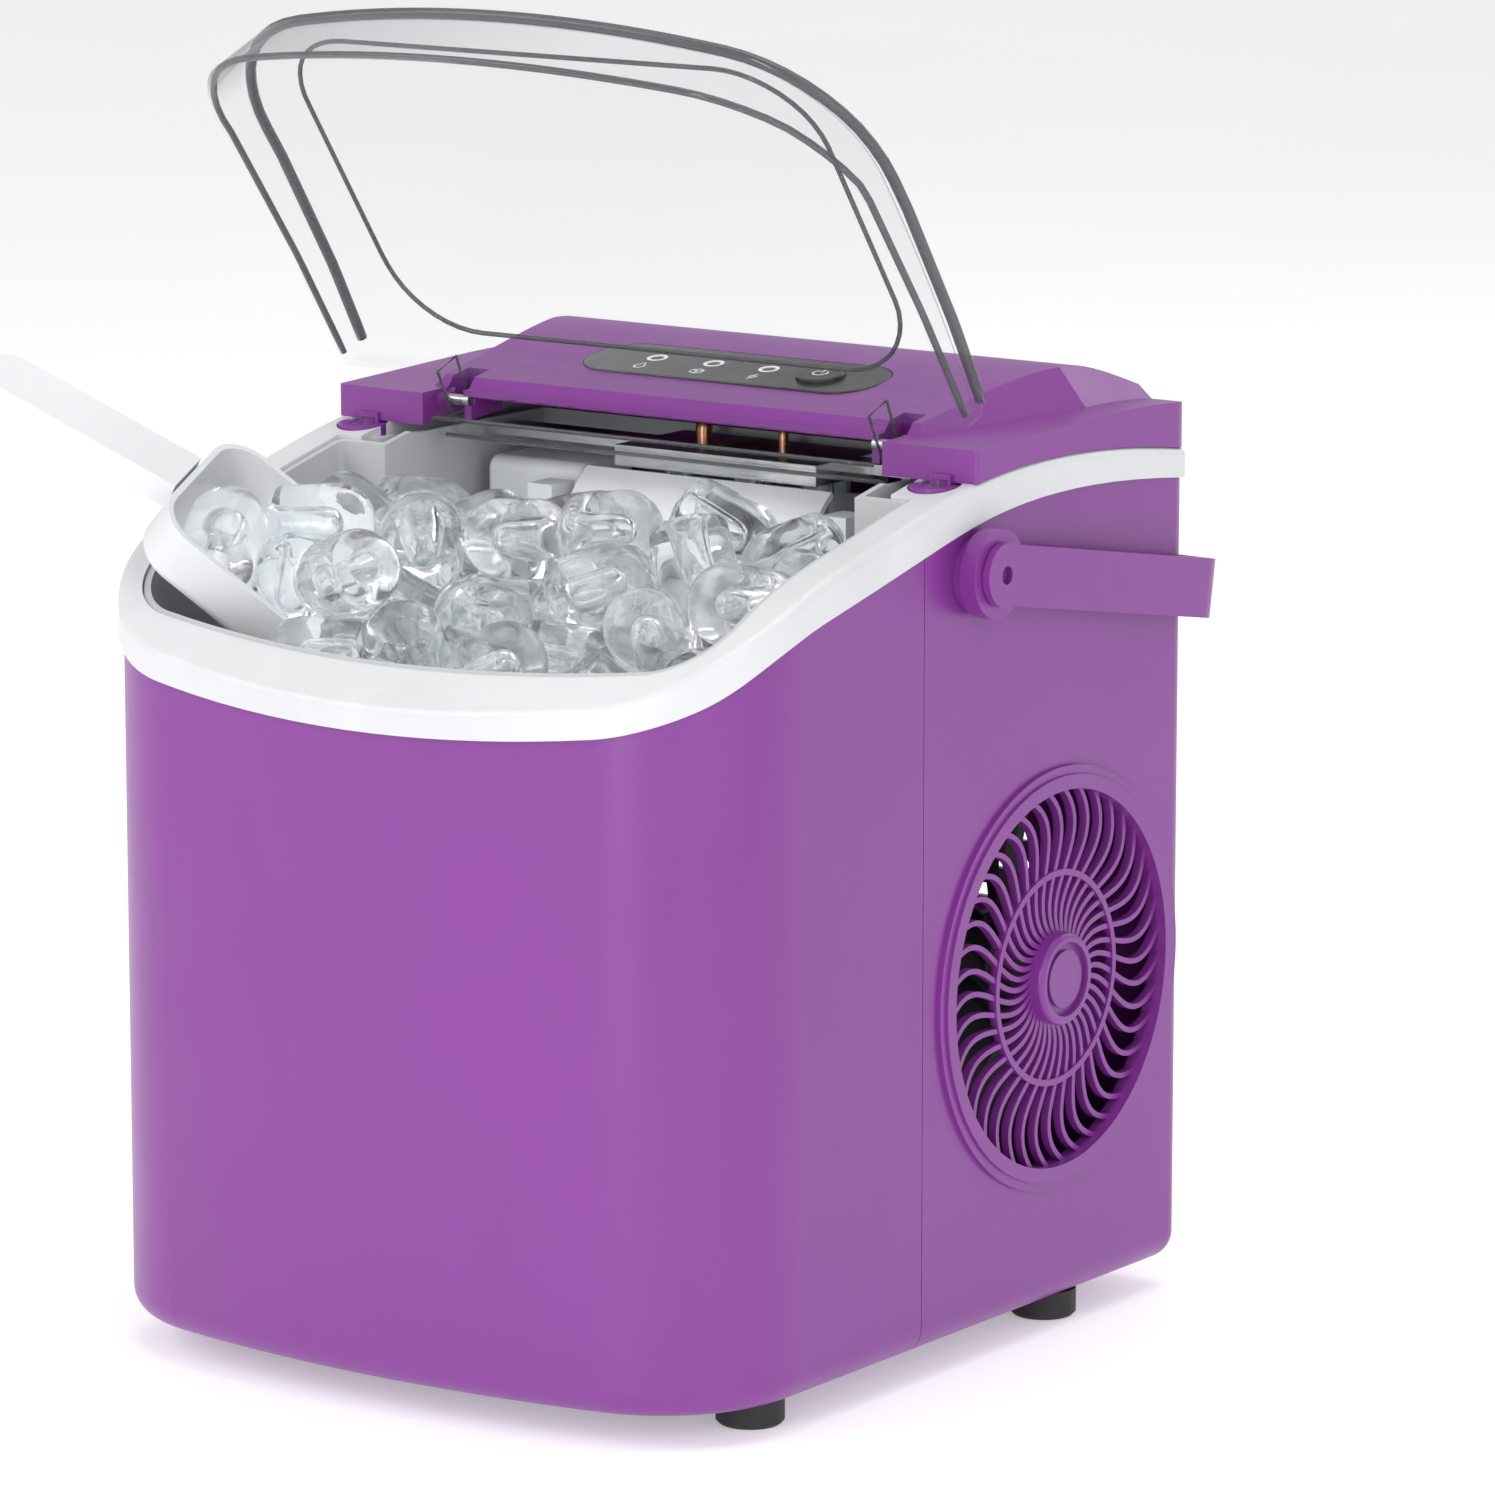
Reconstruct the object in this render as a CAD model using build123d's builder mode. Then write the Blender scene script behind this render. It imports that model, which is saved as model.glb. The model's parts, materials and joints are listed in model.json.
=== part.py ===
"""Portable countertop bullet ice maker with a clear lid, lift-out basket, scoop and carry handle.

Millimetres.  +X is the side with the fan grille, +Y is the back, +Z is up.
The origin is the middle of the footprint on the floor.
"""
from build123d import *
import math
import os

os.makedirs("parts", exist_ok=True)

# ---------------------------------------------------------------- driving dimensions
HALF_W = 110.0            # half width of the purple body
FRONT_Y = -122.6          # middle of the bowed front
BACK_Y = 122.7
BOW_R = 380.0             # radius of the bowed front in plan
CORNER_R = 45.0           # front corners in plan
REAR_R = 7.0              # rear corners in plan
BASE_Z = 8.0              # underside of the body, held up by the feet
WALL = 2.5
EDGE_R = 8.0              # rounding of the bottom edge
SEAM_Y = -12.0            # joint between the front and rear shells
GAP = 0.3

RIM_TOP = [(-135, 187.5), (-123, 197.5), (-100, 214), (-75, 227.5), (-30, 240), (10, 249), (50, 252),
           (90, 250), (123, 245.5), (135, 243.5)]
RIM_LOW = [(-135, 183), (-123, 190.5), (-110, 198.5), (-100, 204), (-82, 214.6), (-52, 223.6),
           (-10, 233.5), (15, 238.8), (66, 242), (122.7, 237.2), (135, 235.5)]
RIM_PROUD = 1.5           # rim stands out from the body
RIM_SKIN = 2.5
RIM_ROUND = 2.4
RIM_TUCK = 3.0            # shells reach this far up inside the rim

OPEN_HALF_W = 100.0       # ice opening
OPEN_FRONT = -112.0
OPEN_BACK = 112.0
OPEN_BOW_R = 480.0
OPEN_NARROW = 92.0        # half width behind the hinge line

HINGE_Y, HINGE_Z = 21.6, 255.9      # lid hinge axis
LID_OPEN = 68.0                     # degrees from closed to the rest position
PIN_R = 1.6
ARM_X, ARM_T = 73.0, 4.0            # lid hinge arms
SLOT_LO, SLOT_HI = 72.4, 80.0       # slots in the top housing that the arms swing in
SWING_R = 11.25                     # reach of the lid's rear shield round the hinge

HANDLE_Y, HANDLE_Z = 13.0, 225.0    # carry handle pivot
HANDLE_IN, HANDLE_T = 113.0, 5.0
HANDLE_R = 113.4                    # pivot to the inner face of the crossbar
HANDLE_H = 17.0
HANDLE_TILT = 10.0
HANDLE_BORE = 5.0
SWEEP_R = 112.2                     # nothing behind the pivot reaches past this

FAN_Y, FAN_Z = 55.7, 103.0          # fan and grille axis
TRAY_X, TRAY_Y, TRAY_Z = 9.0, 48.0, 210.0    # middle of the water tray, on its pivot
TRAY_R = 20.0


BASE_TOP = 13.0                     # top of the base plate
FEET = [(-93, -70), (93, -70), (-96, 71), (96, 71)]
COMP_X, COMP_Y, COMP_Z, COMP_R, COMP_H = -38.0, 62.0, 22.0, 36.0, 100.0
COMP_FEET = [(COMP_X - 33, COMP_Y - 25), (COMP_X - 33, COMP_Y + 25), (COMP_X + 33, COMP_Y + 25),
             (COMP_X + 33, COMP_Y - 25)]


SPAN = 400.0
SIDE = Plane.YZ.offset(-SPAN / 2)   # side profiles are drawn here and run right across


# ---------------------------------------------------------------- helpers
def save(builder, node):
    """Names a finished piece and writes its STEP file."""
    builder.part.label = node
    export_step(builder.part, f"parts/{node}.step")


def plan(half_w, front, back, bow_r, corner_r, rear_r):
    """Plan outline: a bowed front with round corners, straight sides and a square back."""
    side_y = front + bow_r - math.sqrt(bow_r**2 - half_w**2)
    with BuildSketch() as s:
        with BuildLine():
            ThreePointArc((-half_w, side_y), (0, front), (half_w, side_y))
            Polyline((half_w, side_y), (half_w, back), (-half_w, back), (-half_w, side_y))
        make_face()
        fillet(s.vertices().group_by(Axis.Y)[0], corner_r)
        fillet(s.vertices().group_by(Axis.Y)[-1], rear_r)
    return s.sketch


def body_plan(out):
    """The body outline grown by out all round."""
    return plan(HALF_W + out, FRONT_Y - out, BACK_Y + out, BOW_R + out, CORNER_R + out,
                max(REAR_R + out, 1.0))


def opening_plan(out):
    """The rim opening grown by out: full width in front, narrower under the top housing."""
    front = plan(OPEN_HALF_W + out, OPEN_FRONT - out, -2, OPEN_BOW_R, 22 + out, 1.0)
    with BuildSketch() as s:
        add(front)
        with Locations((0, (OPEN_BACK + out - 25) / 2)):
            Rectangle(2 * (OPEN_NARROW + out), OPEN_BACK + out + 25)
    return s.sketch


def under(points, lift, floor=0.0):
    """Side profile (Y, Z) from a floor up to a curve that is raised by lift."""
    top = [(y, z + lift) for y, z in points]
    with BuildSketch() as s:
        with BuildLine():
            Spline(top)
            Polyline(top[-1], (top[-1][0], floor), (top[0][0], floor), top[0])
        make_face()
    return s.sketch


def above(points, lift, ceiling=420.0):
    """Side profile (Y, Z) from a curve that is raised by lift up to a ceiling."""
    low = [(y, z + lift) for y, z in points]
    with BuildSketch() as s:
        with BuildLine():
            Spline(low)
            Polyline(low[-1], (low[-1][0], ceiling), (low[0][0], ceiling), low[0])
        make_face()
    return s.sketch


def rim_height(y):
    """Height of the rim's top at y, along straight lines between its stated points."""
    for (y0, z0), (y1, z1) in zip(RIM_TOP, RIM_TOP[1:]):
        if y0 <= y <= y1:
            return z0 + (z1 - z0) * (y - y0) / (y1 - y0)
    return RIM_TOP[-1][1]


def tube(points, radius, bend=6.0):
    """A pipe of the given radius along straight runs with rounded bends."""
    with BuildPart() as p:
        with BuildLine() as path:
            FilletPolyline(*points, radius=bend)
        with BuildSketch(Plane(path.line @ 0, z_dir=path.line % 0)):
            Circle(radius)
        sweep()
    return p.part


BODY = body_plan(0)
BODY_IN = body_plan(-WALL)
RIM_OUT = body_plan(RIM_PROUD)
OPENING = opening_plan(0)
OPENING_SKIRT = opening_plan(2.2)
UNDER_RIM_LOW = under(RIM_LOW, RIM_TUCK)
UNDER_RIM_TOP = under(RIM_TOP, 0)
UNDER_RIM_SKIN = under(RIM_TOP, -RIM_SKIN)
ABOVE_RIM_LOW = above(RIM_LOW, 0)
ABOVE_RIM_TOP = above(RIM_TOP, 0)


# ---------------------------------------------------------------- outer shells
with BuildPart() as shell:
    with BuildSketch(Plane.XY.offset(BASE_Z)):
        add(BODY)
    extrude(amount=250)
    fillet(shell.edges().group_by(Axis.Z)[0], EDGE_R)
    with BuildSketch(Plane.XY.offset(BASE_Z + WALL)) as s_in:
        add(BODY_IN)
    extrude(amount=250, mode=Mode.SUBTRACT)
    with BuildSketch(Plane.XY.offset(BASE_Z)):
        add(body_plan(-28))
        with Locations(*FEET):
            Circle(2.1)
    extrude(amount=WALL, mode=Mode.SUBTRACT)
    with BuildSketch(SIDE):
        add(UNDER_RIM_LOW)
    extrude(amount=SPAN, mode=Mode.INTERSECT)

# front half, with the drain hole in its left side
DRAIN_Y, DRAIN_Z, DRAIN_R = -52.0, 84.0, 8.0
with BuildPart() as front_shell:
    add(shell.part)
    with Locations((0, SEAM_Y + 200 - GAP / 2, 150)):
        Box(400, 400, 400, mode=Mode.SUBTRACT)
    with BuildSketch(Plane.YZ.offset(-HALF_W - 5)):
        with Locations((DRAIN_Y, DRAIN_Z)):
            Circle(DRAIN_R + 1.0)
    extrude(amount=15, mode=Mode.SUBTRACT)
save(front_shell, "front_shell")

# rear half, with the round fan opening, outlet louvres, cord gland hole and screw holes
GRILLE_R = 60.7
VENT_ROWS, VENT_PITCH, VENT_H, VENT_W = 11, 9.0, 4.0, 52.0
GLAND_X, GLAND_Z, GLAND_R = -74.0, 38.0, 7.0
REAR_SCREWS = [(-95, 30), (95, 30), (-95, 215), (95, 215)]
with BuildPart() as rear_shell:
    add(shell.part)
    with Locations((0, SEAM_Y - 200 + GAP / 2, 150)):
        Box(400, 400, 400, mode=Mode.SUBTRACT)
    with BuildSketch(Plane.YZ.offset(HALF_W - 6)):
        with Locations((FAN_Y, FAN_Z)):
            Circle(GRILLE_R - 3.5)
    extrude(amount=12, mode=Mode.SUBTRACT)
    with BuildSketch(Plane.XZ.offset(-BACK_Y - 2)):
        with Locations((-32, 100), (32, 100)):
            with GridLocations(0, VENT_PITCH, 1, VENT_ROWS):
                SlotOverall(VENT_W, VENT_H)
        with Locations((GLAND_X, GLAND_Z)):
            Circle(GLAND_R)
        with Locations(*REAR_SCREWS):
            Circle(1.6)
    extrude(amount=8, mode=Mode.SUBTRACT)
    with BuildSketch(Plane.YZ.offset(-HALF_W - 2)):
        with Locations((62, 100)):
            with GridLocations(0, VENT_PITCH, 1, 7):
                SlotOverall(VENT_W, VENT_H)
    extrude(amount=8, mode=Mode.SUBTRACT)
    with Locations((0, HANDLE_Y, HANDLE_Z)):
        Cylinder(4.0, 240, rotation=(0, 90, 0), mode=Mode.SUBTRACT)
save(rear_shell, "rear_shell")

# ---------------------------------------------------------------- white rim
TAB_X, TAB_Y, TAB_Z, TAB_R, TAB_T = 99.5, 8.3, 245.5, 7.2, 3.2
with BuildPart() as rim:
    with BuildSketch(Plane.XY.offset(170)):
        add(RIM_OUT)
    extrude(amount=100)
    with BuildSketch(SIDE):
        add(UNDER_RIM_TOP)
    extrude(amount=SPAN, mode=Mode.INTERSECT)
    with BuildSketch(SIDE):
        add(ABOVE_RIM_LOW)
    extrude(amount=SPAN, mode=Mode.INTERSECT)

    rim_top_face = rim.faces().filter_by(lambda f: f.normal_at().Z > 0.7).sort_by(SortBy.AREA)[-1]
    fillet(rim_top_face.edges(), RIM_ROUND)

with BuildPart() as rim_channel:
    with BuildSketch(Plane.XY.offset(170)):
        add(body_plan(0.1))
        add(OPENING_SKIRT, mode=Mode.SUBTRACT)
    extrude(amount=100)
    with BuildSketch(SIDE):
        add(UNDER_RIM_SKIN)
    extrude(amount=SPAN, mode=Mode.INTERSECT)

with BuildPart() as rim_bezel:
    add(rim.part)
    with BuildSketch(Plane.XY.offset(170)):
        add(OPENING)
    extrude(amount=100, mode=Mode.SUBTRACT)
    add(rim_channel.part, mode=Mode.SUBTRACT)
    with Locations((TAB_X, TAB_Y, TAB_Z), (-TAB_X, TAB_Y, TAB_Z)):
        Cylinder(TAB_R + 0.4, 12, align=(Align.CENTER, Align.CENTER, Align.MIN), mode=Mode.SUBTRACT)
    with Locations((TAB_X - 2.1, TAB_Y, 236), (-TAB_X + 2.1, TAB_Y, 236)):
        Cylinder(TAB_R + 0.7, TAB_Z - 236, align=(Align.CENTER, Align.CENTER, Align.MIN))
    with Locations((TAB_X, TAB_Y, 230), (-TAB_X, TAB_Y, 230)):
        Cylinder(1.5, 20, align=(Align.CENTER, Align.CENTER, Align.MIN), mode=Mode.SUBTRACT)
    with BuildSketch(Plane.YZ):
        with Locations((HANDLE_Y + 60 + 100, HANDLE_Z)):
            Rectangle(200, 200)
        with Locations((HANDLE_Y, HANDLE_Z)):
            Circle(SWEEP_R, mode=Mode.SUBTRACT)
    extrude(amount=200, both=True, mode=Mode.SUBTRACT)
save(rim_bezel, "rim_bezel")

# ---------------------------------------------------------------- top housing
DIMPLES, DIMPLE_PITCH, DIMPLE_R = 11, 11.0, 1.6
PANEL_W, PANEL_D, PANEL_T, PANEL_R = 101.4, 27.0, 1.0, 12.5
PANEL_Y, PANEL_Z, PANEL_SLOPE = 54.5, 267.6, 8.6
PANEL_PLANE = Plane((0, PANEL_Y, PANEL_Z), x_dir=(1, 0, 0),
                    z_dir=(0, -math.sin(math.radians(PANEL_SLOPE)), math.cos(math.radians(PANEL_SLOPE))))
LED_X, LED_V, LED_R = (-29.0, -9.0, 10.3), 1.5, 3.1
BUTTON_X, BUTTON_V, BUTTON_R, BUTTON_PROUD, BUTTON_TRAVEL = 30.0, -1.0, 7.0, 1.2, 1.0
BOARD_DEPTH = 9.0
EAR_FRONT, EAR_IN = 10.5, SLOT_HI
PLATEAU_FRONT = 20.7
PLATEAU_SIDE = [(-30, 258.2), (10.5, 258.6), (60, 260.2), (104, 260.4), (135, 257.0)]
CROWN = [(15, 260.4), (20.7, 261.2), (50, 266.6), (80, 271.0), (92, 271.2), (108, 267.4), (135, 256.0)]
CROWN_FRONT_W, CROWN_REAR_W, CROWN_TOP_Y = 74.0, 90.0, 85.0
CROWN_FOOT_Z, CROWN_FLARE, CROWN_SLOPE = 256.0, 13.0, 42.0
SHOULDER_R = 9.0
RECESS_LOW = 250.5      # bottom of the housing face between the ears


def housing_form(inset):
    """Solid form of the housing drawn in by inset: low shoulders with a raised crown between them."""
    half = HALF_W + 1 - inset
    front = PLATEAU_FRONT + inset
    foot_front, foot_rear = CROWN_FRONT_W + CROWN_FLARE - inset, CROWN_REAR_W + CROWN_FLARE - inset
    with BuildPart() as low:
        with BuildSketch(Plane.XY.offset(238)):
            add(plan(half, EAR_FRONT + inset, BACK_Y - inset, 4000, 1.0, REAR_R + 1))
        extrude(amount=60)
        with BuildSketch(SIDE):
            add(under(PLATEAU_SIDE, -inset))
        extrude(amount=SPAN, mode=Mode.INTERSECT)
        with BuildSketch(Plane.XZ):
            with Locations((0, 230.2 - inset)):
                RectangleRounded(2 * half, 60, SHOULDER_R - inset)
        extrude(amount=200, both=True, mode=Mode.INTERSECT)
    with BuildPart() as high:
        with BuildSketch(Plane.XY.offset(CROWN_FOOT_Z)):
            Polygon((-foot_front, front), (foot_front, front), (foot_rear, CROWN_TOP_Y),
                    (foot_rear - 2, BACK_Y + 20), (-foot_rear + 2, BACK_Y + 20),
                    (-foot_rear, CROWN_TOP_Y), align=None)
        extrude(amount=20, taper=CROWN_SLOPE)
        with Locations((0, front - 50, 260)):
            Box(300, 100, 100, mode=Mode.SUBTRACT)
    with BuildPart() as block:
        with BuildSketch(Plane.XY.offset(CROWN_FOOT_Z)):
            add(plan(half, front, BACK_Y - inset, 4000, 1.0, REAR_R + 1))
        extrude(amount=20)
        with BuildSketch(SIDE):
            add(under(CROWN, -inset))
        extrude(amount=SPAN, mode=Mode.INTERSECT)
        add(high.part, mode=Mode.INTERSECT)
    with BuildPart() as form:
        add(low.part)
        add(block.part)
        # the back is turned to the swing of the carry handle
        with BuildSketch(Plane.YZ):
            with Locations((HANDLE_Y, HANDLE_Z)):
                Circle(SWEEP_R - inset)
                Rectangle(200, 200, align=(Align.MAX, Align.CENTER))
        extrude(amount=150, both=True, mode=Mode.INTERSECT)
    return form.part


housing_out = housing_form(0)
housing_in = housing_form(WALL)


# inner walls of the ears and of the slots, ending half way into the skin
SLOT_END = HINGE_Y + SWING_R + 0.6
with BuildPart() as ear_walls:
    with Locations((EAR_IN, EAR_FRONT, 236)):
        Box(WALL, SLOT_END + WALL - EAR_FRONT, 40, align=Align.MIN)
    with Locations((SLOT_LO - WALL, PLATEAU_FRONT + 0.5, RECESS_LOW)):
        Box(WALL, SLOT_END + WALL - PLATEAU_FRONT - 0.5, 30, align=Align.MIN)
    with Locations((SLOT_LO - WALL, SLOT_END, RECESS_LOW)):
        Box(SLOT_HI - SLOT_LO + 2 * WALL, WALL, 30, align=Align.MIN)
    with Locations((EAR_IN + 8, HINGE_Y, HINGE_Z)):
        Cylinder(4.0, 10, rotation=(0, 90, 0), align=(Align.CENTER, Align.CENTER, Align.MAX))
    mirror(about=Plane.YZ)
    add(housing_form(WALL / 2), mode=Mode.INTERSECT)

with BuildPart() as top_housing:
    add(housing_out)
    add(housing_in, mode=Mode.SUBTRACT)
    # the gap between the ears, and the slots behind it for the lid's arms
    with Locations((0, EAR_FRONT, 240)):
        Box(2 * SLOT_HI, 2 * (PLATEAU_FRONT - EAR_FRONT), 60, mode=Mode.SUBTRACT)
    with Locations((0, PLATEAU_FRONT - 1, RECESS_LOW)):
        Box(2 * SLOT_HI, 12, 30, align=(Align.CENTER, Align.MIN, Align.MAX), mode=Mode.SUBTRACT)
    for side in (-1, 1):
        with Locations((side * (SLOT_LO + SLOT_HI) / 2, EAR_FRONT, 230)):
            Box(SLOT_HI - SLOT_LO, SLOT_END - EAR_FRONT, 60,
                align=(Align.CENTER, Align.MIN, Align.MIN), mode=Mode.SUBTRACT)
    # small drip grooves along the recessed front face
    with BuildSketch(Plane.XY.offset(RECESS_LOW)):
        with Locations((0, PLATEAU_FRONT)):
            with GridLocations(DIMPLE_PITCH, 0, DIMPLES, 1):
                Circle(DIMPLE_R)
    extrude(amount=7, mode=Mode.SUBTRACT)
    add(ear_walls.part)
    with BuildSketch(SIDE):
        add(ABOVE_RIM_TOP)
    extrude(amount=SPAN, mode=Mode.INTERSECT)
    with Locations((TAB_X, TAB_Y, TAB_Z), (-TAB_X, TAB_Y, TAB_Z)):
        Cylinder(TAB_R, TAB_T, align=(Align.CENTER, Align.CENTER, Align.MIN))
    # webs that join the tabs to the front walls of the ears
    with Locations((TAB_X, EAR_FRONT + 0.2, TAB_Z), (-TAB_X, EAR_FRONT + 0.2, TAB_Z)):
        Box(7, WALL, 6, align=(Align.CENTER, Align.MIN, Align.MIN))
    # control panel pocket with openings for the lights and the button
    with BuildSketch(PANEL_PLANE.offset(-PANEL_T)):
        RectangleRounded(PANEL_W + 0.4, PANEL_D + 0.4, PANEL_R + 0.2)
    extrude(amount=10, mode=Mode.SUBTRACT)
    with BuildSketch(PANEL_PLANE):
        with Locations(*[(x, LED_V) for x in LED_X]):
            Circle(LED_R + 0.1)
        with Locations((BUTTON_X, BUTTON_V)):
            Circle(BUTTON_R + 0.3)
    extrude(amount=-8, mode=Mode.SUBTRACT)
    with BuildSketch(PANEL_PLANE.offset(-BOARD_DEPTH)):
        with GridLocations(80, 17, 2, 2):
            Circle(2.0)
    extrude(amount=7)
    for side in (-1, 1):
        with Locations((side * TAB_X, TAB_Y, TAB_Z - 1)):
            Cylinder(1.7, 6, align=(Align.CENTER, Align.CENTER, Align.MIN), mode=Mode.SUBTRACT)
        with Locations((side * TAB_X, TAB_Y, TAB_Z + TAB_T - 1.7)):
            Cylinder(3.6, 3, align=(Align.CENTER, Align.CENTER, Align.MIN), mode=Mode.SUBTRACT)
    with Locations((0, HINGE_Y, HINGE_Z)):
        Cylinder(PIN_R, 2 * (EAR_IN + 7), rotation=(0, 90, 0), mode=Mode.SUBTRACT)
save(top_housing, "top_housing")

# ---------------------------------------------------------------- controls
with BuildPart() as control_panel:
    with BuildSketch(PANEL_PLANE):
        RectangleRounded(PANEL_W, PANEL_D, PANEL_R)
    extrude(amount=-PANEL_T)
    fillet(control_panel.faces().sort_by(Axis.Z)[-1].edges(), 0.4)
    with BuildSketch(PANEL_PLANE):
        with Locations(*[(x, LED_V) for x in LED_X]):
            Circle(LED_R)
        with Locations((BUTTON_X, BUTTON_V)):
            Circle(BUTTON_R + 0.3)
    extrude(amount=-4, mode=Mode.SUBTRACT)
save(control_panel, "control_panel")

with BuildPart() as light_rings:
    with BuildSketch(PANEL_PLANE):
        with Locations(*[(x, LED_V) for x in LED_X]):
            Circle(LED_R)
            Circle(LED_R - 1.0, mode=Mode.SUBTRACT)
    extrude(amount=-PANEL_T)
save(light_rings, "light_rings")

with BuildPart() as light_lenses:
    with BuildSketch(PANEL_PLANE.offset(-0.3)):
        with Locations(*[(x, LED_V) for x in LED_X]):
            Circle(LED_R - 1.0)
    extrude(amount=-7)
save(light_lenses, "light_lenses")

with BuildPart() as power_button:
    with BuildSketch(PANEL_PLANE.offset(BUTTON_PROUD)):
        with Locations((BUTTON_X, BUTTON_V)):
            Circle(BUTTON_R)
    extrude(amount=-(BUTTON_PROUD + 5))
    fillet(power_button.faces().sort_by(Axis.Z)[-1].edges(), 0.5)
    with BuildSketch(PANEL_PLANE.offset(BUTTON_PROUD - 5 - BUTTON_PROUD)):
        with Locations((BUTTON_X, BUTTON_V)):
            Circle(2.0)
    extrude(amount=-1.0)
save(power_button, "power_button")

with BuildPart() as control_board:
    with BuildSketch(PANEL_PLANE.offset(-BOARD_DEPTH)):
        Rectangle(86, 22)
    extrude(amount=-1.6)
    with BuildSketch(PANEL_PLANE.offset(-BOARD_DEPTH)):
        with Locations((BUTTON_X, BUTTON_V)):
            Rectangle(6, 6)
        with Locations(*[(x, LED_V) for x in LED_X]):
            Circle(1.5)
    extrude(amount=1.4)
    with BuildSketch(PANEL_PLANE.offset(-BOARD_DEPTH - 1.6)):
        with Locations((-20, 0), (5, 3)):
            Rectangle(12, 9)
    extrude(amount=-2.0)
save(control_board, "control_board")

# ---------------------------------------------------------------- clear lid, drawn closed
LID_BACK = 10.0
LID_WALL = 2.0
LID_TOP = [(-135, 224.0), (-121, 229.0), (-90, 239.5), (-60, 248.0), (-20, 256.6), (12, 261.3), (30, 263)]
LID_ROUND = 4.5
PAD_RISE = 0.9


def lid_form(inset, base_lift):
    """Solid form of the closed lid drawn in by inset, from base_lift above the rim."""
    with BuildPart() as form:
        with BuildSketch(Plane.XY.offset(180)):
            add(plan(HALF_W - 1 - inset, FRONT_Y + 1 + inset, LID_BACK - inset, BOW_R, CORNER_R - inset, 2))
        extrude(amount=100)
        with BuildSketch(SIDE):
            add(under(LID_TOP, -inset))
        extrude(amount=SPAN, mode=Mode.INTERSECT)
        top_face = form.faces().filter_by(lambda f: f.normal_at().Z > 0.8).sort_by(SortBy.AREA)[-1]
        fillet(top_face.edges().sort_by(Axis.Y)[:-1], LID_ROUND - inset / 2)
        with BuildSketch(SIDE):
            add(above(RIM_TOP, base_lift))
        extrude(amount=SPAN, mode=Mode.INTERSECT)
    return form.part


lid_out = lid_form(0, 0.6)
lid_in = lid_form(LID_WALL, -3)

with BuildPart() as lid_pad:
    with BuildSketch(Plane.XY.offset(200)):
        with Locations((0, -52)):
            RectangleRounded(178, 106, 26)
    extrude(amount=100)
    with BuildSketch(SIDE):
        add(under(LID_TOP, PAD_RISE))
    extrude(amount=SPAN, mode=Mode.INTERSECT)
    with BuildSketch(SIDE):
        add(above(LID_TOP, -LID_WALL))
    extrude(amount=SPAN, mode=Mode.INTERSECT)

with BuildPart() as lid_closed:
    add(lid_out)
    add(lid_in, mode=Mode.SUBTRACT)
    add(lid_pad.part)
    # finger notches in the edges of the side skirts
    with BuildSketch(Plane.YZ):
        with Locations((-44, rim_height(-44) + 1.0)):
            RectangleRounded(38, 5, 1.2, rotation=17.5)
    extrude(amount=200, both=True, mode=Mode.SUBTRACT)
    # hinge arms, and the curved shield they carry round the hinge
    for side in (-1, 1):
        with BuildSketch(Plane.YZ.offset(side * ARM_X)):
            with BuildLine():
                Polyline((LID_BACK - 1, 250.2), (LID_BACK - 1, 260.2), (HINGE_Y, HINGE_Z + 4.6),
                         (HINGE_Y, HINGE_Z - 4.6), (LID_BACK - 1, 250.2))
            make_face()
            with Locations((HINGE_Y, HINGE_Z)):
                Circle(4.6)
            with BuildLine():
                Line((HINGE_Y, HINGE_Z), (HINGE_Y, HINGE_Z - SWING_R))
                shield_arc = CenterArc((HINGE_Y, HINGE_Z), SWING_R, 270, 50)
                Line(shield_arc @ 1, (HINGE_Y, HINGE_Z))
            make_face()
            with Locations((HINGE_Y, HINGE_Z)):
                Circle(PIN_R + 0.05, mode=Mode.SUBTRACT)
        extrude(amount=side * ARM_T)
    with BuildSketch(Plane.YZ.offset(-ARM_X)):
        with BuildLine():
            outer_arc = CenterArc((HINGE_Y, HINGE_Z), SWING_R, 270, 50)
            inner_arc = CenterArc((HINGE_Y, HINGE_Z), SWING_R - 1.6, 270, 50)
            Line(outer_arc @ 0, inner_arc @ 0)
            Line(outer_arc @ 1, inner_arc @ 1)
        make_face()
    extrude(amount=2 * ARM_X)

HINGE_AXIS = Axis((0, HINGE_Y, HINGE_Z), (1, 0, 0))
with BuildPart() as lid:
    add(lid_closed.part.rotate(HINGE_AXIS, -LID_OPEN))
save(lid, "lid")

with BuildPart() as hinge_pins:
    for side in (-1, 1):
        with Locations((side * (SLOT_LO - 2), HINGE_Y, HINGE_Z)):
            Cylinder(PIN_R, EAR_IN + 6 - SLOT_LO + 2, rotation=(0, side * 90, 0),
                     align=(Align.CENTER, Align.CENTER, Align.MIN))
save(hinge_pins, "hinge_pins")

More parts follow.
